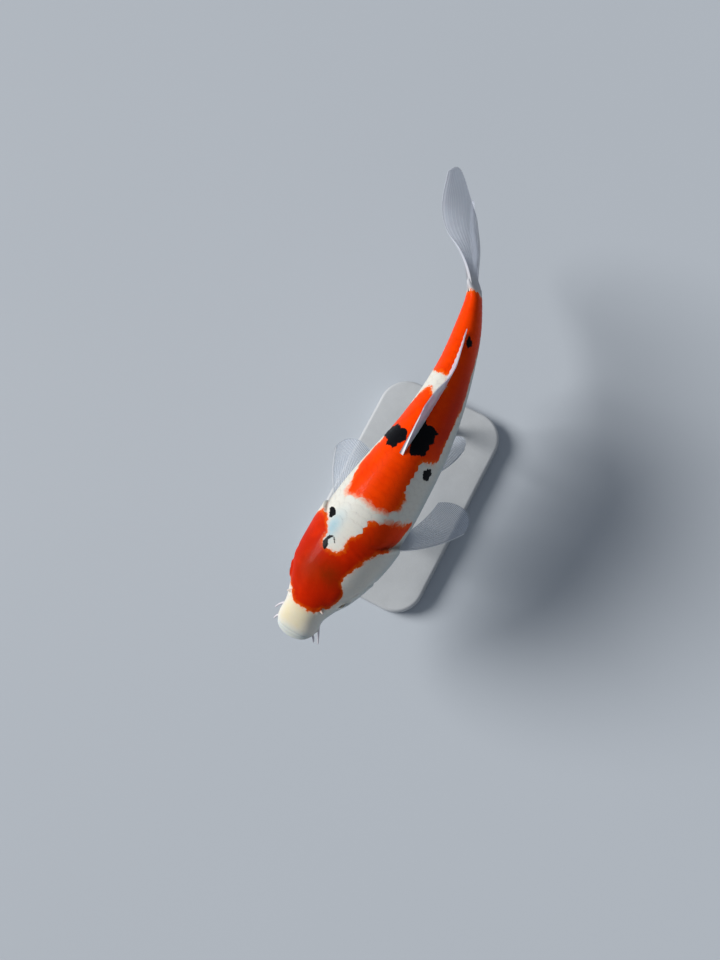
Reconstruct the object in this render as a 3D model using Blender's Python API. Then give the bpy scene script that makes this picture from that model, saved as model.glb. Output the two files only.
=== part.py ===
"""Koi carp, Taisho Sanke colouring, as a still life-size model on a display stand.

Metres, +Z up. The fish faces -Y, so +X is its left side. It is modelled straight along +Y,
parted with thin cuts, and then every vertex is carried onto one bent spine. The stand is
modelled in place. The origin is the middle of the stand's underside.
"""
import math

import bmesh
import bpy
from mathutils import Vector

# ---------------------------------------------------------------------------
# Driving dimensions. Lengths are metres; SHARE tables are shares of the length.
# ---------------------------------------------------------------------------
LENGTH = 0.270                 # standard length, snout to the end of the tail stalk
AXIS_HEIGHT = 0.105            # body axis above the floor
SNOUT_X = -0.0107              # where the snout tip stands over the base
SNOUT_Y = -0.1310
GAP = 0.0003                   # clearance between neighbouring solids

# Heading of the spine, degrees towards the fish's left: (share of the length, heading)
SPINE_HEADINGS = (
    (0.00, 2.5), (0.07, 5.0), (0.14, 7.6), (0.20, 9.0), (0.30, 8.0), (0.40, 7.2), (0.47, 7.2),
    (0.54, 5.0), (0.61, 0.8), (0.67, -2.0), (0.75, -6.0), (0.85, -11.0), (0.93, -15.5),
    (1.00, -19.0), (1.08, -21.0), (1.15, -32.0), (1.32, -24.0),
)

# Body outline by station, all in shares of the length:
# (station, half-width, back height, belly height, height of the widest line)
BODY_STATIONS = (
    (0.000, 0.0000, -0.0120, -0.0120, -0.0120),
    (0.016, 0.0420, 0.0170, -0.0350, -0.0120),
    (0.048, 0.0545, 0.0420, -0.0540, -0.0120),
    (0.068, 0.0545, 0.0540, -0.0625, -0.0100),
    (0.100, 0.0640, 0.0710, -0.0750, -0.0060),
    (0.148, 0.0875, 0.0930, -0.0900, 0.0000),
    (0.214, 0.1045, 0.1170, -0.1060, 0.0050),
    (0.300, 0.1130, 0.1405, -0.1245, 0.0070),
    (0.345, 0.1055, 0.1510, -0.1310, 0.0090),
    (0.400, 0.1003, 0.1590, -0.1350, 0.0100),
    (0.490, 0.0890, 0.1650, -0.1370, 0.0130),
    (0.600, 0.0735, 0.1480, -0.1300, 0.0120),
    (0.700, 0.0600, 0.1180, -0.1110, 0.0080),
    (0.800, 0.0470, 0.0840, -0.0820, 0.0030),
    (0.880, 0.0383, 0.0640, -0.0610, 0.0000),
    (0.950, 0.0275, 0.0600, -0.0570, 0.0000),
    (1.000, 0.0180, 0.0640, -0.0610, 0.0000),
    (1.036, 0.0056, 0.0590, -0.0560, 0.0000),
)
BODY_END = 1.036               # end of the wedge that runs into the tail fin, share
TAIL_ROUNDING = 0.005          # length of the wedge's rounded end, share
UPPER_FULLNESS = 2.15          # superellipse exponent of the back
LOWER_FULLNESS = 2.30          # and of the belly
BODY_RINGS = 42
BODY_SIDES = 30
NOSE_CROWDING = 1.6            # above 1, rings stand closer together at the nose

GILL_REAR = 0.325              # rear edge of the gill cover, share
GILL_RAKE_UP = 3.6             # how fast that edge runs forward towards the nape
GILL_RAKE_DOWN = 7.5           # and towards the throat
GILL_CENTRE = (0.268, -0.010)
GILL_SEMI = (0.084, 0.080)
GILL_SQUARENESS = 2.6
GILL_THICKNESS = 0.0022
STALK_START = 0.862            # where the tail stalk begins, share
JAW_MOUTH = ((-0.05, 0.003), (0.055, -0.036))
JAW_REAR = ((0.072, -0.052), (0.098, -0.130))
MOUTH_OPENING = 0.0012

EYE_STATION = 0.139
EYE_HEIGHT = 0.026
EYE_OUT = 0.0650
EYE_RADIUS = 0.0050

FIN_ROOT_SINK = 0.010          # how far fin roots start under the skin before trimming, share
DORSAL_BASE = (0.488, 0.834)
DORSAL_FRONT_HEIGHT = 0.122
DORSAL_REAR_HEIGHT = 0.042
DORSAL_SWEEP = (48.0, 72.0)
DORSAL_LEAN = (-3.0, 30.0)     # in front and behind, towards the fish's left
ANAL_BASE = (0.752, 0.832)
ANAL_FRONT_HEIGHT = 0.118
ANAL_REAR_HEIGHT = 0.052
ANAL_SWEEP = (38.0, 62.0)
PECTORAL_ROOT = (0.086, 0.315, -0.074)
PECTORAL_LENGTH = 0.212
PECTORAL_YAW = {"left": 50.5, "right": 48.0}
PECTORAL_FAN = 30.0
PECTORAL_PITCH = -8.0
PELVIC_ROOT = (0.038, 0.505, -0.124)
PELVIC_LENGTH = 0.172
PELVIC_YAW = {"left": 31.0, "right": 22.0}
PELVIC_FAN = 22.0
PELVIC_PITCH = -13.0
FIN_RAY_CURL = 16.0            # how much a paired fin's rays curve backwards, degrees
CAUDAL_ROOT = 0.975
CAUDAL_ROOT_HALF = 0.056
CAUDAL_FORK = 1.200
CAUDAL_TIP = 1.303
CAUDAL_HALF_SPREAD = 0.1215
CAUDAL_SHOULDER = 0.73         # share of the spread where the rounded lobe tip lies
CAUDAL_ROUNDING = 0.022        # how far the lobe's outer corner falls short of its tip
CAUDAL_FLARE = 0.73            # how late the leading ray swings out, 0 to 1
LOBE_LEAN = {"upper": 88.0, "lower": 10.0}
LEAN_START = 0.86              # the lobes lean over more and more behind this station
LEAN_REACH = 0.40
LEAN_RETURN = 0.59             # share of the lean that is lost again at the tips
FIN_ROOT_THICKNESS = 0.0020
FIN_EDGE_THICKNESS = 0.0006

BARBEL_RADIUS = 0.0008
LONG_BARBEL = {
    "left": ((0.042, 0.068, -0.042), (0.046, 0.053, -0.061), (0.055, 0.034, -0.074),
             (0.064, 0.015, -0.081)),
    "right": ((0.045, 0.066, -0.046), (0.060, 0.060, -0.061), (0.071, 0.050, -0.071),
              (0.078, 0.038, -0.078)),
}
SHORT_BARBEL = ((0.038, 0.036, -0.019), (0.052, 0.027, -0.025), (0.058, 0.016, -0.034))

STAND_LENGTH = 0.170
STAND_WIDTH = 0.100
STAND_THICKNESS = 0.012
STAND_CORNER = 0.022
STAND_EDGE = 0.0025
ROD_DIAMETER = 0.007
ROD_SOCKET_DEPTH = 0.007
ROD_STATIONS = {"front": 0.370, "rear": 0.712}

# Colours as linear RGB
WHITE = (0.80, 0.78, 0.70)
RED = (0.85, 0.09, 0.01)
FIN_WHITE = (0.66, 0.71, 0.76)
EYE_BLACK = (0.01, 0.01, 0.012)
STAND_GREY = (0.55, 0.56, 0.57)
STEEL = (0.60, 0.61, 0.62)


# ---------------------------------------------------------------------------
# Curves through stations, and the bent spine
# ---------------------------------------------------------------------------
def smooth_curve(knots):
    """Return a function through (position, value) knots that never overshoots them."""
    xs = [knot[0] for knot in knots]
    ys = [knot[1] for knot in knots]
    steps = [(ys[i + 1] - ys[i]) / (xs[i + 1] - xs[i]) for i in range(len(xs) - 1)]
    slopes = [steps[0]]
    for before, after in zip(steps, steps[1:]):
        same_way = before * after > 0.0
        slopes.append(2.0 * before * after / (before + after) if same_way else 0.0)
    slopes.append(steps[-1])

    def value(position):
        position = min(max(position, xs[0]), xs[-1])
        i = max(k for k in range(len(xs) - 1) if xs[k] <= position)
        width = xs[i + 1] - xs[i]
        t = (position - xs[i]) / width
        hermite = (1 + 2 * t) * (1 - t) ** 2 * ys[i] + t * (1 - t) ** 2 * width * slopes[i]
        return hermite + t * t * (3 - 2 * t) * ys[i + 1] + t * t * (t - 1) * width * slopes[i + 1]

    return value


def ease(t):
    """Smooth step from 0 to 1."""
    t = min(max(t, 0.0), 1.0)
    return t * t * (3.0 - 2.0 * t)


def outline_curve(column):
    """One column of the body table, run over the root of the station so that the nose is round."""
    curve = smooth_curve([(math.sqrt(row[0]), row[column]) for row in BODY_STATIONS])
    return lambda station: curve(math.sqrt(max(station, 0.0)))


half_width = outline_curve(1)
back_height = outline_curve(2)
belly_height = outline_curve(3)
widest_height = outline_curve(4)
heading = smooth_curve(SPINE_HEADINGS)


def spine_points(step=0.002, end=1.36):
    """Walk along the spine and note where it passes, in shares of the length."""
    points = [Vector((0.0, 0.0))]
    for i in range(round(end / step)):
        angle = math.radians(heading((i + 0.5) * step))
        points.append(points[-1] + step * Vector((math.sin(angle), math.cos(angle))))
    return step, points


SPINE_STEP, SPINE = spine_points()


def pose(rest):
    """Carry a point of the straight fish (metres) to its place on the bent fish."""
    station = rest.y / LENGTH
    angle = math.radians(heading(station))
    along = Vector((math.sin(angle), math.cos(angle)))
    across = Vector((math.cos(angle), -math.sin(angle)))
    place = min(max(station / SPINE_STEP, 0.0), len(SPINE) - 1.001)
    i = int(place)
    on_spine = SPINE[i].lerp(SPINE[i + 1], place - i) * LENGTH
    overshoot = rest.y - place * SPINE_STEP * LENGTH
    flat = on_spine + across * rest.x + along * overshoot
    return Vector((SNOUT_X + flat.x, SNOUT_Y + flat.y, AXIS_HEIGHT + rest.z))


# ---------------------------------------------------------------------------
# Blender helpers
# ---------------------------------------------------------------------------
def clear_scene():
    """Remove every object that the file opened with."""
    for obj in list(bpy.data.objects):
        bpy.data.objects.remove(obj, do_unlink=True)


def new_collection(name):
    """Make a collection in the scene."""
    collection = bpy.data.collections.new(name)
    bpy.context.scene.collection.children.link(collection)
    return collection


def material(name, colour, roughness, metallic=0.0):
    """Make a Principled material for one part."""
    result = bpy.data.materials.new(name)
    result.use_nodes = True
    shader = result.node_tree.nodes["Principled BSDF"]
    shader.inputs["Base Color"].default_value = (*colour, 1.0)
    shader.inputs["Roughness"].default_value = roughness
    shader.inputs["Metallic"].default_value = metallic
    return result


def object_from(bm, name, collection):
    """Turn a bmesh into an object with its faces turned outwards."""
    bmesh.ops.recalc_face_normals(bm, faces=bm.faces)
    mesh = bpy.data.meshes.new(name)
    bm.to_mesh(mesh)
    bm.free()
    obj = bpy.data.objects.new(name, mesh)
    collection.objects.link(obj)
    return obj


def copy_of(obj, name, collection):
    """Copy an object with its own mesh."""
    result = bpy.data.objects.new(name, obj.data.copy())
    collection.objects.link(result)
    return result


def cut(obj, cutter, operation="DIFFERENCE"):
    """Cut an object with another and keep the result as its mesh."""
    modifier = obj.modifiers.new("cut", "BOOLEAN")
    modifier.operation = operation
    modifier.solver = "EXACT"
    modifier.object = cutter
    keep_evaluated(obj)


def keep_evaluated(obj):
    """Replace an object's mesh by what its modifiers make of it."""
    depsgraph = bpy.context.evaluated_depsgraph_get()
    result = bpy.data.meshes.new_from_object(obj.evaluated_get(depsgraph))
    obj.modifiers.clear()
    obj.data = result


def finish_part(obj, colour, roughness, metallic=0.0):
    """Give a part its own material."""
    obj.data.materials.clear()
    obj.data.materials.append(material(obj.name + "_finish", colour, roughness, metallic))


def bend(obj):
    """Carry a straight part onto the bent spine."""
    for vertex in obj.data.vertices:
        vertex.co = pose(vertex.co)


# ---------------------------------------------------------------------------
# Lofts, prisms and blades of the straight fish
# ---------------------------------------------------------------------------
def section(station, inset, shrink=1.0):
    """One ring of the body: half-width and heights drawn in by inset, then scaled by shrink."""
    wide = (half_width(station) * LENGTH - inset) * shrink
    middle = widest_height(station) * LENGTH
    up = (back_height(station) * LENGTH - middle - inset) * shrink
    down = (middle - belly_height(station) * LENGTH - inset) * shrink
    ring = []
    for k in range(BODY_SIDES):
        angle = 2.0 * math.pi * k / BODY_SIDES
        c, s = math.cos(angle), math.sin(angle)
        fullness = UPPER_FULLNESS if s >= 0.0 else LOWER_FULLNESS
        reach = up if s >= 0.0 else down
        x = math.copysign(abs(c) ** (2.0 / fullness), c) * wide
        z = math.copysign(abs(s) ** (2.0 / fullness), s) * reach
        ring.append((x, z + middle))
    return ring


def loft(rings, nose, end):
    """Close a row of (y, [(x, z)...]) rings with a point at each end."""
    bm = bmesh.new()
    rows = [[bm.verts.new((x, y, z)) for x, z in ring] for y, ring in rings]
    for row, following in zip(rows, rows[1:]):
        for k in range(BODY_SIDES):
            j = (k + 1) % BODY_SIDES
            bm.faces.new((row[k], row[j], following[j], following[k]))
    for row, tip in ((rows[0], bm.verts.new(nose)), (rows[-1], bm.verts.new(end))):
        for k in range(BODY_SIDES):
            bm.faces.new((row[k], row[(k + 1) % BODY_SIDES], tip))
    return bm


def whole_body(name, inset, collection):
    """The body in one piece, drawn in (or grown, if negative) by inset."""
    rings = []
    for i in range(1, BODY_RINGS + 1):
        station = BODY_END * (i / BODY_RINGS) ** NOSE_CROWDING
        rings.append((station * LENGTH + inset * (1.0 - station) ** 8, section(station, inset)))
    for turn in (30.0, 60.0):
        y = LENGTH * (BODY_END + TAIL_ROUNDING * math.sin(math.radians(turn))) - inset
        rings.append((y, section(BODY_END, inset, math.cos(math.radians(turn)) ** 0.5)))
    nose = (0.0, inset, widest_height(0.0) * LENGTH)
    end = (0.0, LENGTH * (BODY_END + TAIL_ROUNDING) - inset, 0.0)
    return object_from(loft(rings, nose, end), name, collection)


def gill_core(name, inset, collection):
    """The flesh under the gill covers: a length of body drawn in by inset."""
    rings = [(y * LENGTH, section(y, inset)) for y in (0.14, 0.18, 0.22, 0.26, 0.30, 0.34, 0.38)]
    nose = (0.0, 0.13 * LENGTH, 0.0)
    end = (0.0, 0.39 * LENGTH, 0.0)
    return object_from(loft(rings, nose, end), name, collection)


def prism(name, outline, collection, low=-0.2, high=0.2):
    """Extrude a (station, height) outline sideways between two x values."""
    bm = bmesh.new()
    corners = [bm.verts.new((low, y * LENGTH, z * LENGTH)) for y, z in outline]
    face = bm.faces.new(corners)
    extruded = bmesh.ops.extrude_face_region(bm, geom=[face])
    moved = [item for item in extruded["geom"] if isinstance(item, bmesh.types.BMVert)]
    bmesh.ops.translate(bm, verts=moved, vec=(high - low, 0.0, 0.0))
    return object_from(bm, name, collection)


def gill_edge(height):
    """Station of the rear edge of the head at a height, in shares of the length."""
    rake = GILL_RAKE_UP if height > 0.0 else GILL_RAKE_DOWN
    return GILL_REAR - rake * height * height


def gill_edge_points(offset, top=0.20, bottom=-0.17, count=17):
    """The head's rear edge from top to bottom, moved along the body by offset."""
    points = []
    for k in range(count):
        height = top + (bottom - top) * k / (count - 1)
        points.append((gill_edge(height) + offset, height))
    return points


def gill_outline(grow, count=36):
    """Rounded outline of a gill cover, grown by a share of the length."""
    points = []
    for k in range(count):
        angle = 2.0 * math.pi * k / count
        c, s = math.cos(angle), math.sin(angle)
        y = math.copysign(abs(c) ** (2.0 / GILL_SQUARENESS), c) * (GILL_SEMI[0] + grow)
        z = math.copysign(abs(s) ** (2.0 / GILL_SQUARENESS), s) * (GILL_SEMI[1] + grow)
        points.append((GILL_CENTRE[0] + y, GILL_CENTRE[1] + z))
    return points


def jaw_outline(grow):
    """Wedge that parts the lower jaw from the head, grown by a share of the length."""
    rise = grow + MOUTH_OPENING / LENGTH * (1.0 if grow > 0.0 else 0.0)
    front, corner = JAW_MOUTH
    joint, throat = JAW_REAR
    return (
        (front[0], front[1] + rise), (corner[0], corner[1] + grow),
        (joint[0] + grow, joint[1] + grow), (throat[0] + grow, throat[1]), (front[0], throat[1]),
    )


def ball(name, centre, radius, collection, segments=14, rings=10):
    """A UV sphere."""
    bm = bmesh.new()
    bmesh.ops.create_uvsphere(bm, u_segments=segments, v_segments=rings, radius=radius)
    bmesh.ops.translate(bm, verts=bm.verts, vec=centre)
    return object_from(bm, name, collection)


def blade(name, surface, across, along, collection):
    """A thin fin: surface(u, v) gives its middle layer, u across the rays and v along them."""
    bm = bmesh.new()
    sides = ([], [])
    small = 1e-3
    for i in range(across + 1):
        for j in range(along + 1):
            u, v = i / across, j / along
            over_u = surface(min(u + small, 1.0), v) - surface(max(u - small, 0.0), v)
            over_v = surface(u, min(v + small, 1.0)) - surface(u, max(v - small, 0.0))
            normal = over_u.cross(over_v).normalized()
            half = 0.5 * (FIN_ROOT_THICKNESS * (1.0 - v) ** 1.5 + FIN_EDGE_THICKNESS)
            sides[0].append(bm.verts.new(surface(u, v) + normal * half))
            sides[1].append(bm.verts.new(surface(u, v) - normal * half))
    row = along + 1
    for side in sides:
        for i in range(across):
            for j in range(along):
                a = i * row + j
                bm.faces.new((side[a], side[a + 1], side[a + row + 1], side[a + row]))
    rim = [i * row for i in range(across + 1)]
    rim += [across * row + j for j in range(1, row)]
    rim += [i * row + along for i in range(across - 1, -1, -1)]
    rim += list(range(along - 1, 0, -1))
    for a, b in zip(rim, rim[1:] + rim[:1]):
        bm.faces.new((sides[0][a], sides[0][b], sides[1][b], sides[1][a]))
    return object_from(bm, name, collection)


# ---------------------------------------------------------------------------
# Fins of the straight fish: each surface gives metres
# ---------------------------------------------------------------------------
def dorsal_surface(u, v):
    """Back fin, partly lowered, its rear half folded over to the fish's left."""
    station = DORSAL_BASE[0] + (DORSAL_BASE[1] - DORSAL_BASE[0]) * u
    rise = DORSAL_FRONT_HEIGHT - DORSAL_REAR_HEIGHT
    corner = 1.0 - 0.30 * max(0.0, 1.0 - u / 0.06)
    length = (DORSAL_REAR_HEIGHT + rise * (1.0 - u) ** 2.4) * corner + FIN_ROOT_SINK
    sweep = math.radians(DORSAL_SWEEP[0] + (DORSAL_SWEEP[1] - DORSAL_SWEEP[0]) * u + 8.0 * v)
    fold = ease((u - 0.25) / 0.40)
    lean = math.radians(DORSAL_LEAN[0] + (DORSAL_LEAN[1] - DORSAL_LEAN[0]) * fold)
    root = back_height(station) - FIN_ROOT_SINK
    up = length * v * math.cos(sweep)
    back = station + length * v * math.sin(sweep)
    return LENGTH * Vector((up * math.sin(lean), back, root + up * math.cos(lean)))


def anal_surface(u, v):
    """Anal fin under the tail, swept back."""
    station = ANAL_BASE[0] + (ANAL_BASE[1] - ANAL_BASE[0]) * u
    rise = ANAL_FRONT_HEIGHT - ANAL_REAR_HEIGHT
    corner = 1.0 - 0.15 * max(0.0, 1.0 - u / 0.15)
    length = (ANAL_REAR_HEIGHT + rise * (1.0 - u) ** 1.3) * corner + FIN_ROOT_SINK
    sweep = math.radians(ANAL_SWEEP[0] + (ANAL_SWEEP[1] - ANAL_SWEEP[0]) * u)
    root = belly_height(station) + FIN_ROOT_SINK
    down = length * v * math.cos(sweep)
    return LENGTH * Vector((0.0, station + length * v * math.sin(sweep), root - down))


def paired_surface(root, length, yaw, fan, pitch, base, side):
    """A fan-shaped paired fin; yaw is measured from straight back towards the outside."""
    def surface(u, v):
        angle = math.radians(yaw - fan * u + FIN_RAY_CURL * (0.5 - v))
        rounding = 0.90 + 0.15 * math.sin(math.pi * u ** 0.8) - 0.15 * u * u
        reach = length * rounding * v
        droop = math.radians(pitch) * (0.6 + 0.6 * v) - math.radians(9.0) * u * v
        out = reach * math.sin(angle) * math.cos(droop)
        back = reach * math.cos(angle) * math.cos(droop)
        x = side * (root[0] - FIN_ROOT_SINK * 0.8 + out - 0.006 * u)
        z = root[2] + reach * math.sin(droop) - 0.006 * u
        return LENGTH * Vector((x, root[1] + base * u + back, z))
    return surface


def caudal_surface(side, lean):
    """One lobe of the tail fin: u runs from the fork out to the leading ray, side is +1 or -1."""
    def surface(u, v):
        spread = GAP / LENGTH + CAUDAL_HALF_SPREAD * u ** 0.88
        rise = math.sin(0.5 * math.pi * min(u / CAUDAL_SHOULDER, 1.0)) ** 1.6
        fall = max((u - CAUDAL_SHOULDER) / (1.0 - CAUDAL_SHOULDER), 0.0) ** 2
        end = CAUDAL_FORK + (CAUDAL_TIP - CAUDAL_FORK) * rise - CAUDAL_ROUNDING * fall
        root = GAP / LENGTH + CAUDAL_ROOT_HALF * u
        station = CAUDAL_ROOT + (end - CAUDAL_ROOT) * v
        opened = (1.0 - CAUDAL_FLARE) * v ** 0.85 + CAUDAL_FLARE * ease(v / 0.9)
        height = root + (spread - root) * opened
        tilt = math.radians(lean) * ease((station - LEAN_START) / LEAN_REACH)
        tilt *= 1.0 - LEAN_RETURN * ease((station - 1.08) / 0.22)
        tilt *= (height / CAUDAL_HALF_SPREAD) ** 0.6
        return LENGTH * Vector((-height * math.sin(tilt), station, side * height * math.cos(tilt)))
    return surface


# ---------------------------------------------------------------------------
# Groups of parts
# ---------------------------------------------------------------------------
def make_flesh(parts, cutters):
    """Head, gill covers, jaw, trunk and tail stalk, parted from one body by thin cuts."""
    body = whole_body("cut_body", 0.0, cutters)
    gap = GAP / LENGTH
    head_room = prism("cut_head", [(-0.1, 0.20)] + gill_edge_points(0.0) + [(-0.1, -0.17)], cutters)
    behind = gill_edge_points(gap)
    trunk_room = prism("cut_trunk", behind + [(STALK_START, -0.17), (STALK_START, 0.20)], cutters)
    stalk_start = STALK_START + gap
    stalk_outline = ((stalk_start, 0.2), (stalk_start, -0.2), (1.1, -0.2), (1.1, 0.2))
    stalk_room = prism("cut_stalk", stalk_outline, cutters)
    jaw_room = prism("cut_jaw", jaw_outline(0.0), cutters)
    jaw_slot = prism("cut_jaw_slot", jaw_outline(gap), cutters)

    head = copy_of(body, "head", parts)
    cut(head, head_room, "INTERSECT")
    cut(head, jaw_slot)
    covers = make_gill_covers(body, head, head_room, parts, cutters)
    jaw = copy_of(body, "lower_jaw", parts)
    cut(jaw, jaw_room, "INTERSECT")
    trunk = copy_of(body, "trunk", parts)
    cut(trunk, trunk_room, "INTERSECT")
    stalk = copy_of(body, "tail_stalk", parts)
    cut(stalk, stalk_room, "INTERSECT")
    for obj, colour in ((head, RED), (jaw, WHITE), (trunk, RED), (stalk, RED)):
        finish_part(obj, colour, 0.35)
    return [head, jaw, trunk, stalk] + covers


def make_gill_covers(body, head, head_room, parts, cutters):
    """Cut a shallow seat in each side of the head and set a gill cover in it."""
    gap = GAP / LENGTH
    deep = gill_core("cut_gill_deep", GILL_THICKNESS + GAP, cutters)
    shallow = gill_core("cut_gill_shallow", GILL_THICKNESS, cutters)
    covers = []
    for name, low, high in (("left", 0.004, 0.2), ("right", -0.2, -0.004)):
        seat = prism("cut_seat_" + name, gill_outline(gap), cutters, low, high)
        cut(seat, deep)
        cut(head, seat)
        cover = copy_of(body, "gill_cover_" + name, parts)
        cut(cover, head_room, "INTERSECT")
        cut(cover, prism("cut_cover_" + name, gill_outline(0.0), cutters, low, high), "INTERSECT")
        cut(cover, shallow)
        finish_part(cover, WHITE, 0.3)
        covers.append(cover)
    return covers


def make_eyes(head, parts, cutters):
    """Two eyes, each in its own socket."""
    eyes = []
    for name, side in (("left", 1.0), ("right", -1.0)):
        centre = Vector((side * EYE_OUT, EYE_STATION, EYE_HEIGHT)) * LENGTH
        cut(head, ball("cut_socket_" + name, centre, EYE_RADIUS + GAP, cutters))
        eye = ball("eye_" + name, centre, EYE_RADIUS, parts)
        finish_part(eye, EYE_BLACK, 0.08)
        eyes.append(eye)
    return eyes


def make_fins(envelope, parts):
    """All the fins, trimmed to stand just clear of the body."""
    fins = [
        blade("dorsal_fin", dorsal_surface, 16, 6, parts),
        blade("anal_fin", anal_surface, 8, 6, parts),
        blade("caudal_fin_upper", caudal_surface(1.0, LOBE_LEAN["upper"]), 9, 12, parts),
        blade("caudal_fin_lower", caudal_surface(-1.0, LOBE_LEAN["lower"]), 9, 12, parts),
    ]
    for name, side in (("left", 1.0), ("right", -1.0)):
        pectoral = paired_surface(PECTORAL_ROOT, PECTORAL_LENGTH, PECTORAL_YAW[name],
                                  PECTORAL_FAN, PECTORAL_PITCH, 0.030, side)
        pelvic = paired_surface(PELVIC_ROOT, PELVIC_LENGTH, PELVIC_YAW[name],
                                PELVIC_FAN, PELVIC_PITCH, 0.024, side)
        fins.append(blade("pectoral_fin_" + name, pectoral, 8, 8, parts))
        fins.append(blade("pelvic_fin_" + name, pelvic, 8, 7, parts))
    for fin in fins:
        cut(fin, envelope)
        finish_part(fin, FIN_WHITE, 0.3)
    return fins


def barbel(name, route, side, envelope, parts):
    """A tapering feeler along a smooth route of (x, station, height) shares."""
    curve = bpy.data.curves.new(name, "CURVE")
    curve.dimensions = "3D"
    curve.bevel_depth = BARBEL_RADIUS
    curve.bevel_resolution = 2
    curve.resolution_u = 4
    curve.use_fill_caps = True
    spline = curve.splines.new("BEZIER")
    spline.bezier_points.add(len(route) - 1)
    for k, (point, place) in enumerate(zip(spline.bezier_points, route)):
        point.co = Vector((side * place[0], place[1], place[2])) * LENGTH
        point.handle_left_type = point.handle_right_type = "AUTO"
        point.radius = 1.25 - 0.75 * k / (len(route) - 1)
    source = bpy.data.objects.new(name + "_curve", curve)
    parts.objects.link(source)
    depsgraph = bpy.context.evaluated_depsgraph_get()
    mesh = bpy.data.meshes.new_from_object(source.evaluated_get(depsgraph))
    bpy.data.objects.remove(source, do_unlink=True)
    bm = bmesh.new()
    bm.from_mesh(mesh)
    bmesh.ops.remove_doubles(bm, verts=bm.verts, dist=1e-6)
    result = object_from(bm, name, parts)
    cut(result, envelope)
    finish_part(result, WHITE, 0.4)
    return result


def make_barbels(envelope, parts):
    """Two long feelers at the corners of the mouth and two short ones on the upper lip."""
    result = []
    for name, side in (("left", 1.0), ("right", -1.0)):
        result.append(barbel("barbel_long_" + name, LONG_BARBEL[name], side, envelope, parts))
        result.append(barbel("barbel_short_" + name, SHORT_BARBEL, side, envelope, parts))
    return result


def rounded_block(name, size, corner, edge, collection):
    """A flat block with its underside on the floor, rounded corners and a soft top edge."""
    bm = bmesh.new()
    bmesh.ops.create_cube(bm, size=1.0)
    bmesh.ops.scale(bm, verts=bm.verts, vec=size)
    bmesh.ops.translate(bm, verts=bm.verts, vec=(0.0, 0.0, size[2] / 2.0))
    upright = [e for e in bm.edges if abs(e.verts[0].co.z - e.verts[1].co.z) > size[2] / 2.0]
    bmesh.ops.bevel(bm, geom=upright, offset=corner, segments=7, affect="EDGES", profile=0.5)
    top = [e for e in bm.edges if min(v.co.z for v in e.verts) > size[2] * 0.99]
    bmesh.ops.bevel(bm, geom=top, offset=edge, segments=2, affect="EDGES", profile=0.5)
    return object_from(bm, name, collection)


def rod(name, x, y, low, high, radius, collection):
    """An upright round rod."""
    bm = bmesh.new()
    bmesh.ops.create_cone(bm, cap_ends=True, segments=24, radius1=radius, radius2=radius,
                          depth=high - low)
    bmesh.ops.translate(bm, verts=bm.verts, vec=(x, y, (high + low) / 2.0))
    return object_from(bm, name, collection)


def make_stand(envelope, parts, cutters):
    """A flat base and two rods from sockets in it up to the belly; envelope is already bent."""
    size = (STAND_WIDTH, STAND_LENGTH, STAND_THICKNESS)
    base = rounded_block("stand_base", size, STAND_CORNER, STAND_EDGE, parts)
    finish_part(base, STAND_GREY, 0.5)
    floor = STAND_THICKNESS - ROD_SOCKET_DEPTH
    for name, station in ROD_STATIONS.items():
        foot = pose(Vector((0.0, station, belly_height(station))) * LENGTH)
        socket = rod("cut_rod_" + name, foot.x, foot.y, floor, STAND_THICKNESS + 0.01,
                     ROD_DIAMETER / 2.0 + GAP, cutters)
        cut(base, socket)
        post = rod("stand_rod_" + name, foot.x, foot.y, floor + GAP, foot.z + 0.004,
                   ROD_DIAMETER / 2.0, parts)
        cut(post, envelope)
        finish_part(post, STEEL, 0.3, 1.0)


def main():
    """Build the fish straight, bend it, and stand it on its base."""
    clear_scene()
    parts = new_collection("koi_carp")
    cutters = new_collection("cutters")
    envelope = whole_body("cut_envelope", -GAP, cutters)
    fish = make_flesh(parts, cutters)
    fish += make_eyes(fish[0], parts, cutters)
    fish += make_fins(envelope, parts)
    fish += make_barbels(envelope, parts)
    for obj in fish:
        bend(obj)
    bend(envelope)
    make_stand(envelope, parts, cutters)
    for cutter in list(cutters.objects):
        bpy.data.objects.remove(cutter, do_unlink=True)
    bpy.data.collections.remove(cutters)


main()
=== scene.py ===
"""Koi carp of the Taisho Sanke variety as a still life-size model on a display stand.

Skin, scales, fins, eyes, feelers and the stand's finish are made here over the frame. Sizes are
metres unless a comment says otherwise. The fish is worked out straight, by station (share of
its length from the snout) and turn (degrees round the body from the ridge of the back, positive
to its left), and pose() carries every point onto the bent fish.
"""
import math

import bpy
import numpy as np
from bpy.props import FloatProperty, FloatVectorProperty, IntProperty, PointerProperty
from mathutils import Matrix, Vector


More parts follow.
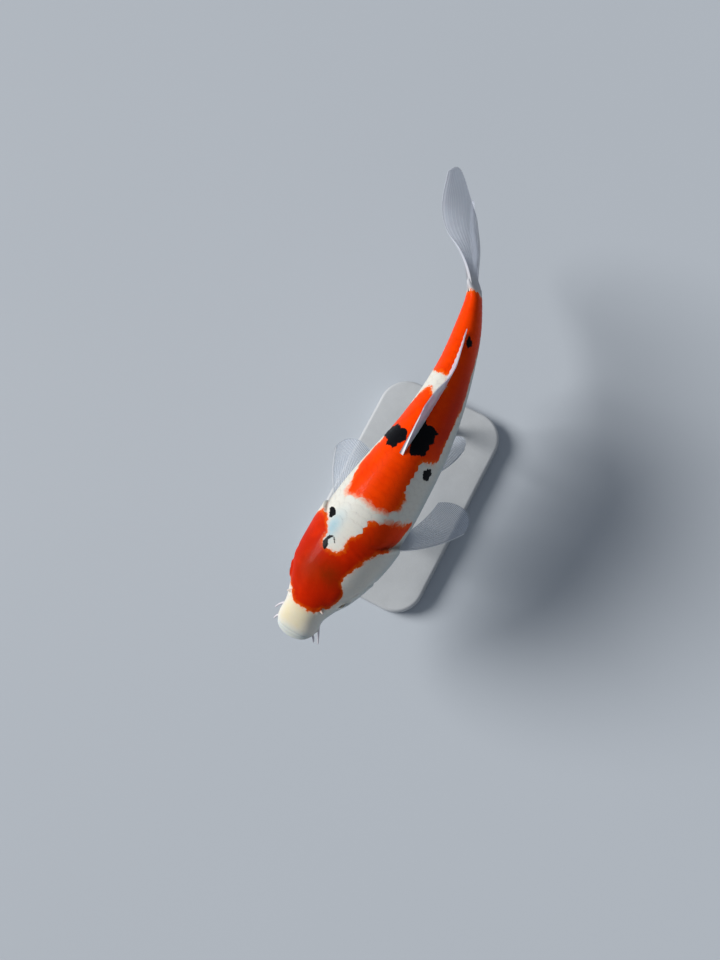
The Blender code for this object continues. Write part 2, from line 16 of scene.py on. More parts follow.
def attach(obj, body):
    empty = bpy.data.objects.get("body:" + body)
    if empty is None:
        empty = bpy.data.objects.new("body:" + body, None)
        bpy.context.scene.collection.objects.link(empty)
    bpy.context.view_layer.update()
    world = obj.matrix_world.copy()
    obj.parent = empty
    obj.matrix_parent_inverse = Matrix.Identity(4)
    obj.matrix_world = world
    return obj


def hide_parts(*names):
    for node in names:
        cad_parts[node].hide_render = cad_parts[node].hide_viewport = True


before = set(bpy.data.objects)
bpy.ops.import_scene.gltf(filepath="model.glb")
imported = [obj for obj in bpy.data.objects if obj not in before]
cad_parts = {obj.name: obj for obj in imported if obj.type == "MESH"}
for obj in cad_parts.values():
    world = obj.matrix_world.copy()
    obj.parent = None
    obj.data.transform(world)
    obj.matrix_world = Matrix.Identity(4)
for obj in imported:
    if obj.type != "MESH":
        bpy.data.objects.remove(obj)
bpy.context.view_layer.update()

bl_info = {
    "name": "Koi Carp Model",
    "version": (1, 0, 0),
    "blender": (4, 5, 0),
    "location": "View3D > Sidebar > Koi Carp",
    "description": "Skin, scales, fins, eyes and stand of a life-size koi carp model",
    "category": "Object",
}

# ---------------------------------------------------------------------------
# Sizes shared with the solids
# ---------------------------------------------------------------------------
LENGTH = 0.270
AXIS_HEIGHT = 0.105
SNOUT_X = -0.0107
SNOUT_Y = -0.1310
SPINE_HEADINGS = (
    (0.00, 2.5), (0.07, 5.0), (0.14, 7.6), (0.20, 9.0), (0.30, 8.0), (0.40, 7.2), (0.47, 7.2),
    (0.54, 5.0), (0.61, 0.8), (0.67, -2.0), (0.75, -6.0), (0.85, -11.0), (0.93, -15.5),
    (1.00, -19.0), (1.08, -21.0), (1.15, -32.0), (1.32, -24.0),
)
# (station, half-width, back height, belly height, height of the widest line)
BODY_STATIONS = (
    (0.000, 0.0000, -0.0120, -0.0120, -0.0120),
    (0.016, 0.0420, 0.0170, -0.0350, -0.0120),
    (0.048, 0.0545, 0.0420, -0.0540, -0.0120),
    (0.068, 0.0545, 0.0540, -0.0625, -0.0100),
    (0.100, 0.0640, 0.0710, -0.0750, -0.0060),
    (0.148, 0.0875, 0.0930, -0.0900, 0.0000),
    (0.214, 0.1045, 0.1170, -0.1060, 0.0050),
    (0.300, 0.1130, 0.1405, -0.1245, 0.0070),
    (0.345, 0.1055, 0.1510, -0.1310, 0.0090),
    (0.400, 0.1003, 0.1590, -0.1350, 0.0100),
    (0.490, 0.0890, 0.1650, -0.1370, 0.0130),
    (0.600, 0.0735, 0.1480, -0.1300, 0.0120),
    (0.700, 0.0600, 0.1180, -0.1110, 0.0080),
    (0.800, 0.0470, 0.0840, -0.0820, 0.0030),
    (0.880, 0.0383, 0.0640, -0.0610, 0.0000),
    (0.950, 0.0275, 0.0600, -0.0570, 0.0000),
    (1.000, 0.0180, 0.0640, -0.0610, 0.0000),
    (1.036, 0.0056, 0.0590, -0.0560, 0.0000),
)
BODY_END = 1.036
TAIL_ROUNDING = 0.005
UPPER_FULLNESS = 2.15
LOWER_FULLNESS = 2.30
GILL_REAR = 0.325
GILL_RAKE_UP = 3.6
GILL_RAKE_DOWN = 7.5
JAW_MOUTH = ((-0.05, 0.003), (0.055, -0.036))
EYE_STATION = 0.139
EYE_HEIGHT = 0.026
EYE_OUT = 0.0650

FIN_ROOT_SINK = 0.010
DORSAL_BASE = (0.488, 0.834)
DORSAL_FRONT_HEIGHT = 0.122
DORSAL_REAR_HEIGHT = 0.042
DORSAL_SWEEP = (48.0, 72.0)
DORSAL_LEAN = (-3.0, 30.0)
ANAL_BASE = (0.752, 0.832)
ANAL_FRONT_HEIGHT = 0.118
ANAL_REAR_HEIGHT = 0.052
ANAL_SWEEP = (38.0, 62.0)
PECTORAL_ROOT = (0.086, 0.315, -0.074)
PECTORAL_LENGTH = 0.212
PECTORAL_YAW = {"left": 50.5, "right": 48.0}
PECTORAL_FAN = 30.0
PECTORAL_PITCH = -8.0
PELVIC_ROOT = (0.038, 0.505, -0.124)
PELVIC_LENGTH = 0.172
PELVIC_YAW = {"left": 31.0, "right": 22.0}
PELVIC_FAN = 22.0
PELVIC_PITCH = -13.0
FIN_RAY_CURL = 16.0
CAUDAL_ROOT = 0.975
CAUDAL_ROOT_HALF = 0.056
CAUDAL_FORK = 1.200
CAUDAL_TIP = 1.303
CAUDAL_HALF_SPREAD = 0.1215
CAUDAL_SHOULDER = 0.73
CAUDAL_ROUNDING = 0.022
CAUDAL_FLARE = 0.73
LOBE_LEAN = {"upper": 88.0, "lower": 10.0}
LEAN_START = 0.86
LEAN_REACH = 0.40
LEAN_RETURN = 0.59
LEAN_RETURN_START = 1.08
LEAN_RETURN_REACH = 0.22
FIN_ROOT_THICKNESS = 0.0020
FIN_EDGE_THICKNESS = 0.0006
BARBEL_RADIUS = 0.0008
LONG_BARBEL = {
    "left": ((0.042, 0.068, -0.042), (0.046, 0.053, -0.061), (0.055, 0.034, -0.074),
             (0.064, 0.015, -0.081)),
    "right": ((0.045, 0.066, -0.046), (0.060, 0.060, -0.061), (0.071, 0.050, -0.071),
              (0.078, 0.038, -0.078)),
}
SHORT_BARBEL = ((0.038, 0.036, -0.019), (0.052, 0.027, -0.025), (0.058, 0.016, -0.034))
STAND_LENGTH = 0.170
STAND_WIDTH = 0.100
STAND_THICKNESS = 0.012
STAND_CORNER = 0.022
ROD_DIAMETER = 0.007
ROD_STATIONS = {"front": 0.370, "rear": 0.712}

# ---------------------------------------------------------------------------
# Sizes of the visible pieces
# ---------------------------------------------------------------------------
COAT_DEPTH = 0.0006            # how deep the skin lies under the solids' surface
HEAD_RINGS = 175
TRUNK_RINGS = 140
SKIN_SIDES = 216
HEAD_END = 0.345               # rings stand close in front of this station
SCALE_PITCH = 0.0183           # along a row, share of the length
SCALE_ROW_HEIGHT = 0.0082      # between rows at the deepest part of the body
SCALE_LENGTH = 0.0096
SCALE_HALF_HEIGHT = 0.62       # of the distance between rows
SCALE_FIRST = 0.236            # station of the first column, most of it under the gill cover
SCALE_LAST = 0.988
SCALE_TAPER = 0.0015           # how much earlier each row up or down from row 0 ends
RIDGE_MARGIN = 0.25            # rows nearer than this share of a row to ridge or keel are left out
COVER_OVERLAP = 0.004          # how far the scales start in front of the gill cover's edge
SCALE_LOW = -0.00010           # lift of a scale's front edge over the skin
SCALE_HIGH = 0.00013           # and of its rear edge
SCALE_SPREAD = 0.03            # share by which single scales differ in length and height
SCALE_SKIRT = 0.00030          # how far the skirt round a scale reaches down
SCALE_SINK = 0.0024            # depth of a scale's points under the gill cover
SCALE_BLEND = 0.30             # how far the edge of a marking keeps to whole scales
PATCH_LENGTH = 0.003           # size of a scale's patch in the UV map
PATCH_HALF_WIDTH = 0.0015
LINE_TUBE = 0.00022            # height of the tube on the lateral line's scales
SCALE_DOME = 0.00005           # how far a scale's middle stands over its sides
SCALE_ROWS = range(-8, 9)      # counted upwards from the lateral line, which is row 0
ROW_CLOSING = 0.55             # power by which the rows close up where the body is slimmer
DEEPEST_STATION = 0.49
SIDE_TURN = 90                 # the middle of the flank
EYEBALL_RADIUS = 0.00482
EYEBALL_SINK = 0.0015          # share of the length
NOSTRIL_STATION = 0.0945
NOSTRIL_TURN = 47.5
NOSTRIL_DEGREE = 0.00032       # metres round the snout for one degree of turn
GILL_BONE = (0.160, -0.018, 0.066)    # station, height and radius of its curve
GILL_PLATE = (0.236, 0.040)    # station and height where the plate's ridges spread from
SLIDE_START = 0.115            # behind this station the rings turn to follow the head's rear edge
TAIL_ROOT_RIDGES = 11
FOLLOW_START = 0.955           # behind this station the skin leans over with the tail fin
FOLLOW_REACH = 0.050
STATION_STEP = 0.0015          # steps to either side that give the skin's normal
TURN_STEP = 0.4
RAY_CELLS = 6                  # faces across one ray
FIN_RIPPLE = 0.0004
LOBE_STOUTNESS = 0.0030        # added to half the thickness of a tail lobe at its root
LOBE_RELIEF = 0.4              # relief of a tail lobe's rays, share of the other fins'
TIP_SCALLOP = 0.006            # how far the membrane ends short of the rays, share of their length
BASE_EDGE = 0.0026
ROD_SOCKET = 0.004             # how deep a rod stands in the base
COLLAR_HEIGHT = 0.0042
CUP_HEIGHT = 0.0052
CUP_OVERLAP = 0.0012           # how far a cup reaches over the lowest line of the belly

# ---------------------------------------------------------------------------
# Markings: closed outlines of (station, turn)
# ---------------------------------------------------------------------------
RED_PATCHES = {
    "cap": (
        (0.116, -70), (0.107, -55), (0.098, -43), (0.087, -36), (0.078, -29), (0.075, -11),
        (0.075, 11), (0.078, 34),
        (0.087, 39), (0.100, 44), (0.112, 53), (0.131, 52), (0.150, 50), (0.169, 41),
        (0.177, 32), (0.192, 30), (0.215, 33), (0.236, 36), (0.257, 40), (0.274, 45),
        (0.292, 52), (0.307, 61), (0.326, 71), (0.345, 76), (0.363, 79), (0.388, 83), (0.391, 79),
        (0.371, 55), (0.359, 40), (0.347, 28), (0.333, 17), (0.321, 11), (0.294, 11),
        (0.271, 5), (0.246, 6), (0.230, 1), (0.223, -11), (0.232, -21), (0.256, -22),
        (0.280, -32), (0.293, -40), (0.294, -52), (0.284, -68), (0.262, -88), (0.215, -99),
        (0.165, -97), (0.132, -88),
    ),
    "saddle": (
        (0.358, -37), (0.355, -28), (0.357, -22), (0.362, -10), (0.360, 0), (0.357, 9),
        (0.361, 20), (0.370, 30), (0.385, 37), (0.403, 40), (0.419, 41), (0.433, 35),
        (0.447, 32), (0.465, 35), (0.480, 33), (0.502, 32), (0.511, 32), (0.518, 41),
        (0.526, 52), (0.542, 60), (0.596, 60), (0.660, 66), (0.691, 70), (0.729, 71),
        (0.767, 69), (0.800, 74), (0.860, 89), (0.930, 104), (0.982, 112), (0.977, 60),
        (0.976, 20), (0.976, -10), (0.982, -45), (0.986, -100), (0.930, -96), (0.860, -84),
        (0.790, -72), (0.748, -64), (0.738, -43), (0.737, -32), (0.734, -21), (0.727, -7),
        (0.735, 3), (0.700, 4), (0.656, 0), (0.666, -8), (0.680, -16), (0.687, -32),
        (0.682, -41), (0.670, -48), (0.655, -56), (0.620, -66), (0.560, -66), (0.517, -54),
        (0.495, -54), (0.469, -56), (0.445, -56), (0.423, -53), (0.402, -46), (0.388, -41),
    ),
}
INK_PATCHES = {
    "fin_front_right": (
        (0.530, -66), (0.547, -66), (0.560, -52), (0.566, -46), (0.555, -29), (0.558, -19),
        (0.545, -10), (0.535, -6), (0.522, -7), (0.513, -12), (0.505, -16), (0.497, -25),
        (0.503, -35), (0.515, -37),
    ),
    "fin_front_left": (
        (0.530, 2), (0.548, -1), (0.576, -2), (0.593, -2), (0.600, 1), (0.590, 12), (0.593, 25),
        (0.590, 36), (0.578, 33), (0.562, 37), (0.550, 31), (0.538, 34), (0.523, 27),
        (0.510, 19), (0.506, 11), (0.515, 6),
    ),
    "flank_left": (
        (0.498, 41), (0.508, 47), (0.514, 55), (0.506, 63), (0.492, 62), (0.485, 52), (0.489, 45),
    ),
    "fin_rear": (
        (0.831, 12), (0.842, 11), (0.852, 13), (0.856, 18), (0.852, 27), (0.842, 35), (0.832, 38),
        (0.828, 27), (0.823, 20),
    ),
    "nape": (
        (0.284, -32), (0.291, -34), (0.298, -37), (0.301, -39), (0.307, -38), (0.311, -37),
        (0.312, -34), (0.309, -30), (0.306, -26), (0.300, -25), (0.296, -27), (0.291, -28),
        (0.286, -29),
    ),
    "crown": (
        (0.216, -14), (0.222, -18), (0.230, -21), (0.239, -20), (0.251, -17), (0.256, -12),
        (0.253, -10.5), (0.249, -13), (0.245, -14), (0.239, -15), (0.232, -12), (0.225, -11),
        (0.218, -12),
    ),
    "crown_hook": (
        (0.251, -12), (0.254, -10), (0.249, -7), (0.242, -5), (0.241, -6), (0.247, -8.5),
    ),
}
# dark places on the red of the head: (station, turn, radius, share)
DARK_CROWN = ((0.178, 10.0, 0.0078, 1.0), (0.168, -13.0, 0.0105, 0.62))
# cool white of the nape: (station, turn, radius in millimetres)
COOL_NAPE = (0.270, -20.0, 5.5)

CAMERA_PLACE = (0.0856, -0.0991, 0.695)
CAMERA_RIGHT = (0.8798, 0.4670, -0.0889)
CAMERA_UP = (-0.4440, 0.8740, 0.1974)
CAMERA_BACK = (0.1699, -0.1342, 0.9763)
CAMERA_LENS = 33.75


# ---------------------------------------------------------------------------
# Settings shown in the sidebar
# ---------------------------------------------------------------------------
class KoiColours(bpy.types.PropertyGroup):
    """Colours of the fish, linear RGB."""
    white: FloatVectorProperty(
        name="White Skin", description="Ground colour of the body",
        default=(0.67, 0.66, 0.61), size=3, subtype="COLOR", min=0.0, max=1.0)
    cream: FloatVectorProperty(
        name="Snout", description="Cream colour of the snout",
        default=(0.70, 0.62, 0.42), size=3, subtype="COLOR", min=0.0, max=1.0)
    # painted shade: besides tinting the nape and the lips, this blue-grey darkens the lower flanks
    # and the belly
    cool_tint_and_flank_shade: FloatVectorProperty(
        name="Cool White And Flank Shade", description="Cool tint of the nape and the lower flanks",
        default=(0.34, 0.50, 0.57), size=3, subtype="COLOR", min=0.0, max=1.0)
    red: FloatVectorProperty(
        name="Body Red", description="Orange red of the saddle and the tail",
        default=(0.88, 0.050, 0.0), size=3, subtype="COLOR", min=0.0, max=1.0)
    # the deep red of the head, also painted on the rear of the left flank as shade
    deep_red: FloatVectorProperty(
        name="Head Red And Flank Shade", description="Deeper red of the head",
        default=(0.45, 0.011, 0.0), size=3, subtype="COLOR", min=0.0, max=1.0)
    ink: FloatVectorProperty(
        name="Ink", description="Black markings",
        default=(0.003, 0.003, 0.004), size=3, subtype="COLOR", min=0.0, max=1.0)
    fin: FloatVectorProperty(
        name="Fin", description="Fin membrane between the rays",
        default=(0.64, 0.70, 0.80), size=3, subtype="COLOR", min=0.0, max=1.0)
    ray: FloatVectorProperty(
        name="Ray", description="Fin rays",
        default=(0.84, 0.86, 0.90), size=3, subtype="COLOR", min=0.0, max=1.0)


class KoiFins(bpy.types.PropertyGroup):
    """Rays of the fins."""
    membrane: FloatProperty(
        name="Membrane Opacity", description="How opaque the membrane is between the rays",
        default=0.42, min=0.1, max=1.0, subtype="FACTOR")
    ray_relief: FloatProperty(
        name="Ray Relief", description="Share of a fin's thickness that its rays stand out by",
        default=0.40, min=0.0, max=0.9, subtype="FACTOR")
    dorsal_rays: IntProperty(name="Dorsal Rays", description="Rays in the back fin",
                             default=21, min=8, max=30)
    pectoral_rays: IntProperty(name="Pectoral Rays", description="Rays in each breast fin",
                               default=16, min=8, max=24)
    tail_rays: IntProperty(name="Tail Rays", description="Rays in each lobe of the tail fin",
                           default=11, min=6, max=16)


class KoiScales(bpy.types.PropertyGroup):
    """Plates of the coat."""
    relief: FloatProperty(
        name="Relief", description="How far the scales' rear edges stand out, share of normal",
        default=1.0, min=0.2, max=1.6, subtype="FACTOR")
    seed: IntProperty(name="Seed", description="Start of the small differences between scales",
                      default=11, min=0)


class KoiStand(bpy.types.PropertyGroup):
    """Finish of the stand."""
    base: FloatVectorProperty(
        name="Base", description="Lacquer of the base",
        default=(0.50, 0.52, 0.54), size=3, subtype="COLOR", min=0.0, max=1.0)
    steel: FloatVectorProperty(
        name="Rods", description="Brushed steel of the rods",
        default=(0.60, 0.61, 0.62), size=3, subtype="COLOR", min=0.0, max=1.0)


class KoiStage(bpy.types.PropertyGroup):
    """Floor and light."""
    floor: FloatVectorProperty(
        name="Floor", description="Colour of the floor",
        default=(0.47, 0.51, 0.56), size=3, subtype="COLOR", min=0.0, max=1.0)
    key_strength: FloatProperty(name="Key Light", description="Strength of the main light",
                                default=3.7, min=0.0)
    fill_power: FloatProperty(name="Fill Light", description="Power of the light opposite",
                              default=0.2, min=0.0, unit="POWER")
    sky: FloatProperty(name="Surroundings", description="Strength of the light from all round",
                       default=0.24, min=0.0)


# ---------------------------------------------------------------------------
# The straight fish and the bent spine
# ---------------------------------------------------------------------------
def smooth_curve(knots):
    """A function through (position, value) knots that never overshoots them."""
    xs, ys = np.array(knots, dtype=float).T
    steps = np.diff(ys) / np.diff(xs)
    before, after = steps[:-1], steps[1:]
    same_way = before * after > 0.0
    total = np.where(same_way, before + after, 1.0)
    inner = np.where(same_way, 2.0 * before * after / total, 0.0)
    slopes = np.concatenate((steps[:1], inner, steps[-1:]))

    def value(position):
        position = np.clip(position, xs[0], xs[-1])
        i = np.clip(np.searchsorted(xs, position, side="right") - 1, 0, len(xs) - 2)
        width = xs[i + 1] - xs[i]
        t = (position - xs[i]) / width
        start = (1 + 2 * t) * (1 - t) ** 2 * ys[i] + t * (1 - t) ** 2 * width * slopes[i]
        return start + t * t * (3 - 2 * t) * ys[i + 1] + t * t * (t - 1) * width * slopes[i + 1]

    return value


def ease(t):
    """Smooth step from 0 to 1."""
    t = np.clip(t, 0.0, 1.0)
    return t * t * (3.0 - 2.0 * t)


def rise(value, start, reach):
    """0 up to the start, then smoothly up to 1 over the reach."""
    return ease((value - start) / reach)


def fall(value, start, reach):
    """1 up to the start, then smoothly down to 0 over the reach."""
    return 1.0 - rise(value, start, reach)


def bump(distance, width):
    """A soft hump of height 1 about distance 0."""
    return np.exp(-(distance / width) ** 2)


def outline_curve(column):
    """One column of the body table, run over the root of the station."""
    curve = smooth_curve([(math.sqrt(row[0]), row[column]) for row in BODY_STATIONS])
    return lambda station: curve(np.sqrt(np.maximum(station, 0.0)))


half_width = outline_curve(1)
back_height = outline_curve(2)
belly_height = outline_curve(3)
widest_height = outline_curve(4)
heading = smooth_curve(SPINE_HEADINGS)


def spine_points(step=0.002, end=1.36):
    """Walk along the spine and note where it passes, in shares of the length."""
    middles = (np.arange(round(end / step)) + 0.5) * step
    angles = np.radians(heading(middles))
    moves = step * np.column_stack((np.sin(angles), np.cos(angles)))
    return step, np.vstack(((0.0, 0.0), np.cumsum(moves, axis=0)))


SPINE_STEP, SPINE = spine_points()


def pose(rest):
    """Carry points of the straight fish, one per row, to their places on the bent fish."""
    station = rest[:, 1] / LENGTH
    angle = np.radians(heading(station))
    place = np.clip(station / SPINE_STEP, 0.0, len(SPINE) - 1.001)
    i = place.astype(int)
    on_spine = (SPINE[i] + (SPINE[i + 1] - SPINE[i]) * (place - i)[:, None]) * LENGTH
    overshoot = rest[:, 1] - place * SPINE_STEP * LENGTH
    x = SNOUT_X + on_spine[:, 0] + np.cos(angle) * rest[:, 0] + np.sin(angle) * overshoot
    y = SNOUT_Y + on_spine[:, 1] - np.sin(angle) * rest[:, 0] + np.cos(angle) * overshoot
    return np.column_stack((x, y, AXIS_HEIGHT + rest[:, 2]))


def plain_body(station, turn):
    """Points of the plain body, drawn in by the coat's depth."""
    angle = np.radians(90.0 - turn)
    c, s = np.cos(angle), np.sin(angle)
    over = np.clip((station - BODY_END) / TAIL_ROUNDING, 0.0, 0.999)
    shrink = (1.0 - over * over) ** 0.25
    middle = widest_height(station) * LENGTH
    wide = np.maximum(half_width(station) * LENGTH - COAT_DEPTH, 1e-5) * shrink
    up = np.maximum(back_height(station) * LENGTH - middle - COAT_DEPTH, 1e-5) * shrink
    down = np.maximum(middle - belly_height(station) * LENGTH - COAT_DEPTH, 1e-5) * shrink
    above = s >= 0.0
    power = 2.0 / np.where(above, UPPER_FULLNESS, LOWER_FULLNESS)
    x = np.sign(c) * np.abs(c) ** power * wide
    z = np.sign(s) * np.abs(s) ** power * np.where(above, up, down) + middle
    y = station * LENGTH + COAT_DEPTH * (1.0 - np.clip(station, 0.0, 1.0)) ** 8 - COAT_DEPTH * over
    return np.stack((x, y, z), axis=-1)


def gill_edge(height):
    """Station of the head's rear edge at a height (share of the length)."""
    rake = np.where(height > 0.0, GILL_RAKE_UP, GILL_RAKE_DOWN)
    return GILL_REAR - rake * height * height


# ---------------------------------------------------------------------------
# Forms of the skin: each gives metres outwards. Station and z are shares of the length, x is
# in metres
# ---------------------------------------------------------------------------
def mouth_forms(station, z):
    """Cleft of the mouth, the two lips and the fold that the upper lip slides out of."""
    (y0, z0), (y1, z1) = JAW_MOUTH
    line = z0 + (z1 - z0) * (station - y0) / (y1 - y0)
    away = (z - line) * LENGTH
    near = fall(station, 0.045, 0.016)
    cleft = -0.0024 * bump(away, 0.00062)
    lips = 0.0008 * bump(np.abs(away) - 0.0020, 0.0012)
    height = np.clip((0.016 - z) / 0.052, 0.0, 1.0)
    fold = (station - (0.0095 + 0.0475 * height ** 1.6)) * LENGTH
    over_lip = rise(z, -0.040, 0.008)
    crease = -0.00075 * bump(fold, 0.00060) + 0.00035 * bump(fold - 0.0018, 0.0013)
    chin_fold = (station - (0.030 + 0.5 * np.maximum(z + 0.052, 0.0))) * LENGTH
    under = rise(-z, 0.040, 0.006)
    chin = -0.0004 * bump(chin_fold, 0.0009)
    return near * (cleft + lips) + crease * over_lip + chin * under


def nostril_forms(station, turn):
    """On each side a front opening, a flap of skin and a rear opening."""
    around = (np.abs(turn) - NOSTRIL_TURN) * NOSTRIL_DEGREE
    along = (station - NOSTRIL_STATION) * LENGTH
    front = -0.0012 * bump(np.hypot(along + 0.0017, around), 0.0008)
    rear = -0.0014 * bump(np.hypot(along - 0.0013, around * 0.75), 0.0010)
    flap = 0.0030 * bump(along + 0.0002, 0.00080) * bump(around, 0.0012)
    rim = 0.00025 * bump(np.hypot(along, around) - 0.0030, 0.0008)
    return front + rear + flap + rim


def eye_forms(station, z):
    """Socket, soft rim, the shallow hollow round the rim and the full temple behind."""
    away = np.hypot(station - EYE_STATION, z - EYE_HEIGHT) * LENGTH
    socket = -0.0040 * fall(away, 0.0012, 0.0031)
    brow = ease((z - EYE_HEIGHT) * LENGTH / 0.003)
    rim = (0.00040 + 0.00060 * brow) * bump(away - 0.0048 + 0.0004 * brow, 0.00085)
    hollow = -0.00025 * bump(away - 0.0073, 0.0014)
    behind = np.hypot(station - EYE_STATION - 0.022, z - EYE_HEIGHT - 0.006) * LENGTH
    temple = bump(behind, 0.0170) * (1.0 - bump(away, 0.0042))
    above = ease((z - EYE_HEIGHT) * LENGTH / 0.004)
    return socket + rim + hollow + 0.0011 * temple * above


def cheek_forms(station, z):
    """Bony edges under the skin: front gill bone, plate ridges and the fold under the eye."""
    bone_station, bone_height, bone_radius = GILL_BONE
    away = (np.hypot(station - bone_station, (z - bone_height) * 1.05) - bone_radius) * LENGTH
    behind = rise(station, 0.150, 0.03) * fall(z, 0.050, 0.02)
    front_bone = (-0.00060 * bump(away, 0.0010) + 0.00028 * bump(away + 0.0022, 0.0016)) * behind
    plate_station, plate_height = GILL_PLATE
    fan = np.arctan2(z - plate_height, station - plate_station)
    reach = np.hypot(station - plate_station, z - plate_height)
    on_plate = rise(reach, 0.012, 0.02) * fall(reach, 0.085, 0.03)
    on_plate *= rise(station, plate_station, 0.012) * ease((gill_edge(z) - 0.006 - station) / 0.012)
    ridges = 0.00007 * np.cos(fan * 30.0 + 2.0 * np.sin(fan * 5.0)) * on_plate
    lower_edge = (z - (-0.066 - 0.25 * (station - 0.27))) * LENGTH
    on_lower = rise(station, 0.215, 0.03) * ease((gill_edge(z) - station) / 0.02)
    lower_bone = -0.00035 * bump(lower_edge, 0.0008) * on_lower
    cheek = (z - (-0.012 - 0.30 * (station - 0.10))) * LENGTH
    on_cheek = rise(station, 0.075, 0.03) * fall(station, 0.165, 0.03)
    under_eye = -0.00030 * bump(cheek, 0.0013) * on_cheek
    return front_bone + ridges + lower_bone + under_eye


def gill_forms(station, z):
    """The gill cover's rear edge stands over the body behind it."""
    behind = (station - gill_edge(z)) * LENGTH
    on_side = rise(z, -0.125, 0.03) * fall(z, 0.085, 0.035)
    drop = -0.0018 * rise(behind, -0.0002, 0.0009) * np.exp(-np.maximum(behind, 0.0) / 0.0060)
    rim = 0.00050 * bump(behind + 0.0011, 0.0010)
    seam = -0.00022 * bump(behind + 0.0038, 0.0007)
    nape = -0.00018 * ease(behind / 0.0008) * np.exp(-np.maximum(behind, 0.0) / 0.004)
    return (drop + rim + seam) * on_side + nape * (1.0 - on_side)


def skull_forms(station, x, z):
    """Low forms of the skull: a dished forehead, brow ridges and a faint seam on the crown."""
    top = rise(z, 0.02, 0.03)
    brow = 0.00035 * bump((np.abs(x) - 0.0150), 0.0035) * bump((station - 0.142) * LENGTH, 0.008)
    dish = -0.00035 * bump(x, 0.008) * bump((station - 0.085) * LENGTH, 0.006)
    seams = -0.00005 * bump(x, 0.0008) * rise(station, 0.17, 0.02)
    seams *= fall(station, 0.245, 0.02)
    return (brow + dish + seams) * top


def belly_forms(station, x, z):
    """Gill skin meeting under the throat, the fins' shoulders and the vent."""
    low = rise(-z, 0.05, 0.02)
    throat = -0.0009 * bump(x, 0.0024) * rise(station, 0.09, 0.03)
    throat *= fall(station, 0.215, 0.03)
    mid, depth = PECTORAL_ROOT[1:]
    on_shoulder = np.hypot((station - mid - 0.006) * LENGTH, (z - depth) * LENGTH)
    shoulder = 0.0007 * bump(on_shoulder, 0.006)
    out, mid = PELVIC_ROOT[:2]
    on_hip = np.hypot((station - mid - 0.006) * LENGTH, np.abs(x) - out * LENGTH)
    hip = 0.0006 * bump(on_hip, 0.005) * low
    on_vent = np.hypot((station - ANAL_BASE[0] + 0.010) * LENGTH, x)
    vent = (0.0006 * bump(on_vent, 0.0026) - 0.0011 * bump(on_vent, 0.0011)) * low
    return throat * low + shoulder + hip + vent


def tail_rays(turn):
    """1 along the roots of the tail fin's rays at the end of the body, 0 between them."""
    height = np.abs(np.cos(np.radians(turn)))
    return (0.5 + 0.5 * np.cos(2.0 * math.pi * TAIL_ROOT_RIDGES * height)) ** 1.4


def tail_forms(station, turn):
    """Root of the tail fin: ridges over the rays, thinner towards the end."""
    rays = 0.00016 * tail_rays(turn) * rise(station, 0.990, 0.014)
    return rays - 0.0005 * rise(station, 1.0, 0.036)


def lobe_tilt(lean, station, height):
    """Angle by which a lobe of the tail fin leans over, lean in degrees."""
    tilt = np.radians(lean) * rise(station, LEAN_START, LEAN_REACH)
    tilt = tilt * (1.0 - LEAN_RETURN * rise(station, LEAN_RETURN_START, LEAN_RETURN_REACH))
    return tilt * (np.maximum(height, 0.0) / CAUDAL_HALF_SPREAD) ** 0.6


def follow_tail(points, station):
    """Lean the end of the body over as the roots of the lobes do."""
    height = np.abs(points[..., 2]) / LENGTH
    upper = points[..., 2] >= 0.0
    lean = np.where(upper, LOBE_LEAN["upper"], LOBE_LEAN["lower"])
    tilt = lobe_tilt(lean, station, height) * rise(station, FOLLOW_START, FOLLOW_REACH)
    x = points[..., 0] * np.cos(tilt) - height * LENGTH * np.sin(tilt)
    return np.stack((x, points[..., 1], points[..., 2] * np.cos(tilt)), axis=-1)


def relief(station, turn, plain):
    """All the forms of the skin together."""
    x, z = plain[..., 0], plain[..., 2] / LENGTH
    total = mouth_forms(station, z) + nostril_forms(station, turn) + eye_forms(station, z)
    total += cheek_forms(station, z) + gill_forms(station, z) + skull_forms(station, x, z)
    return total + belly_forms(station, x, z) + tail_forms(station, turn)


def skin_surface(station, turn, lift=0.0):
    """Points of the straight fish's skin, or at a lift over it."""
    plain = plain_body(station, turn)
    along = plain_body(station + STATION_STEP, turn) - plain_body(station - STATION_STEP, turn)
    around = plain_body(station, turn + TURN_STEP) - plain_body(station, turn - TURN_STEP)
    normal = np.cross(around, along)
    normal /= np.maximum(np.linalg.norm(normal, axis=-1, keepdims=True), 1e-12)
    points = plain + normal * (relief(station, turn, plain) + lift)[..., None]
    return follow_tail(points, station)


# ---------------------------------------------------------------------------
# Markings as values at points of the skin
# ---------------------------------------------------------------------------
def flat_place(station, turn):
    """Station and turn as millimetres on a flattened skin."""
    girth = 1.8 * (half_width(station) + 0.5 * (back_height(station) - belly_height(station)))
    return station * LENGTH * 1000.0, turn / 180.0 * girth * LENGTH * 1000.0 * 0.87


def distance_inside(station, turn, outline):
    """Millimetres inside a closed outline, negative outside it."""
    knots = np.array(outline, dtype=float)
    px, py = flat_place(station, turn)
    kx, ky = flat_place(knots[:, 0], knots[:, 1])
    nearest = np.full(px.shape, 1e9)
    inside = np.zeros(px.shape, dtype=bool)
    for x0, y0, x1, y1 in zip(kx, ky, np.roll(kx, -1), np.roll(ky, -1)):
        dx, dy = x1 - x0, y1 - y0
        t = np.clip(((px - x0) * dx + (py - y0) * dy) / (dx * dx + dy * dy), 0.0, 1.0)
        nearest = np.minimum(nearest, np.hypot(px - x0 - t * dx, py - y0 - t * dy))
        crosses = (y0 > py) != (y1 > py)
        at = x0 + (py - y0) * dx / (dy if abs(dy) > 1e-9 else 1e-9)
        inside ^= crosses & (px < at)
    return np.where(inside, nearest, -nearest)


def largest_distance(station, turn, patches):
    """Distance inside the patch that a point lies deepest in, or nearest to."""
    return np.max([distance_inside(station, turn, p) for p in patches.values()], axis=0)


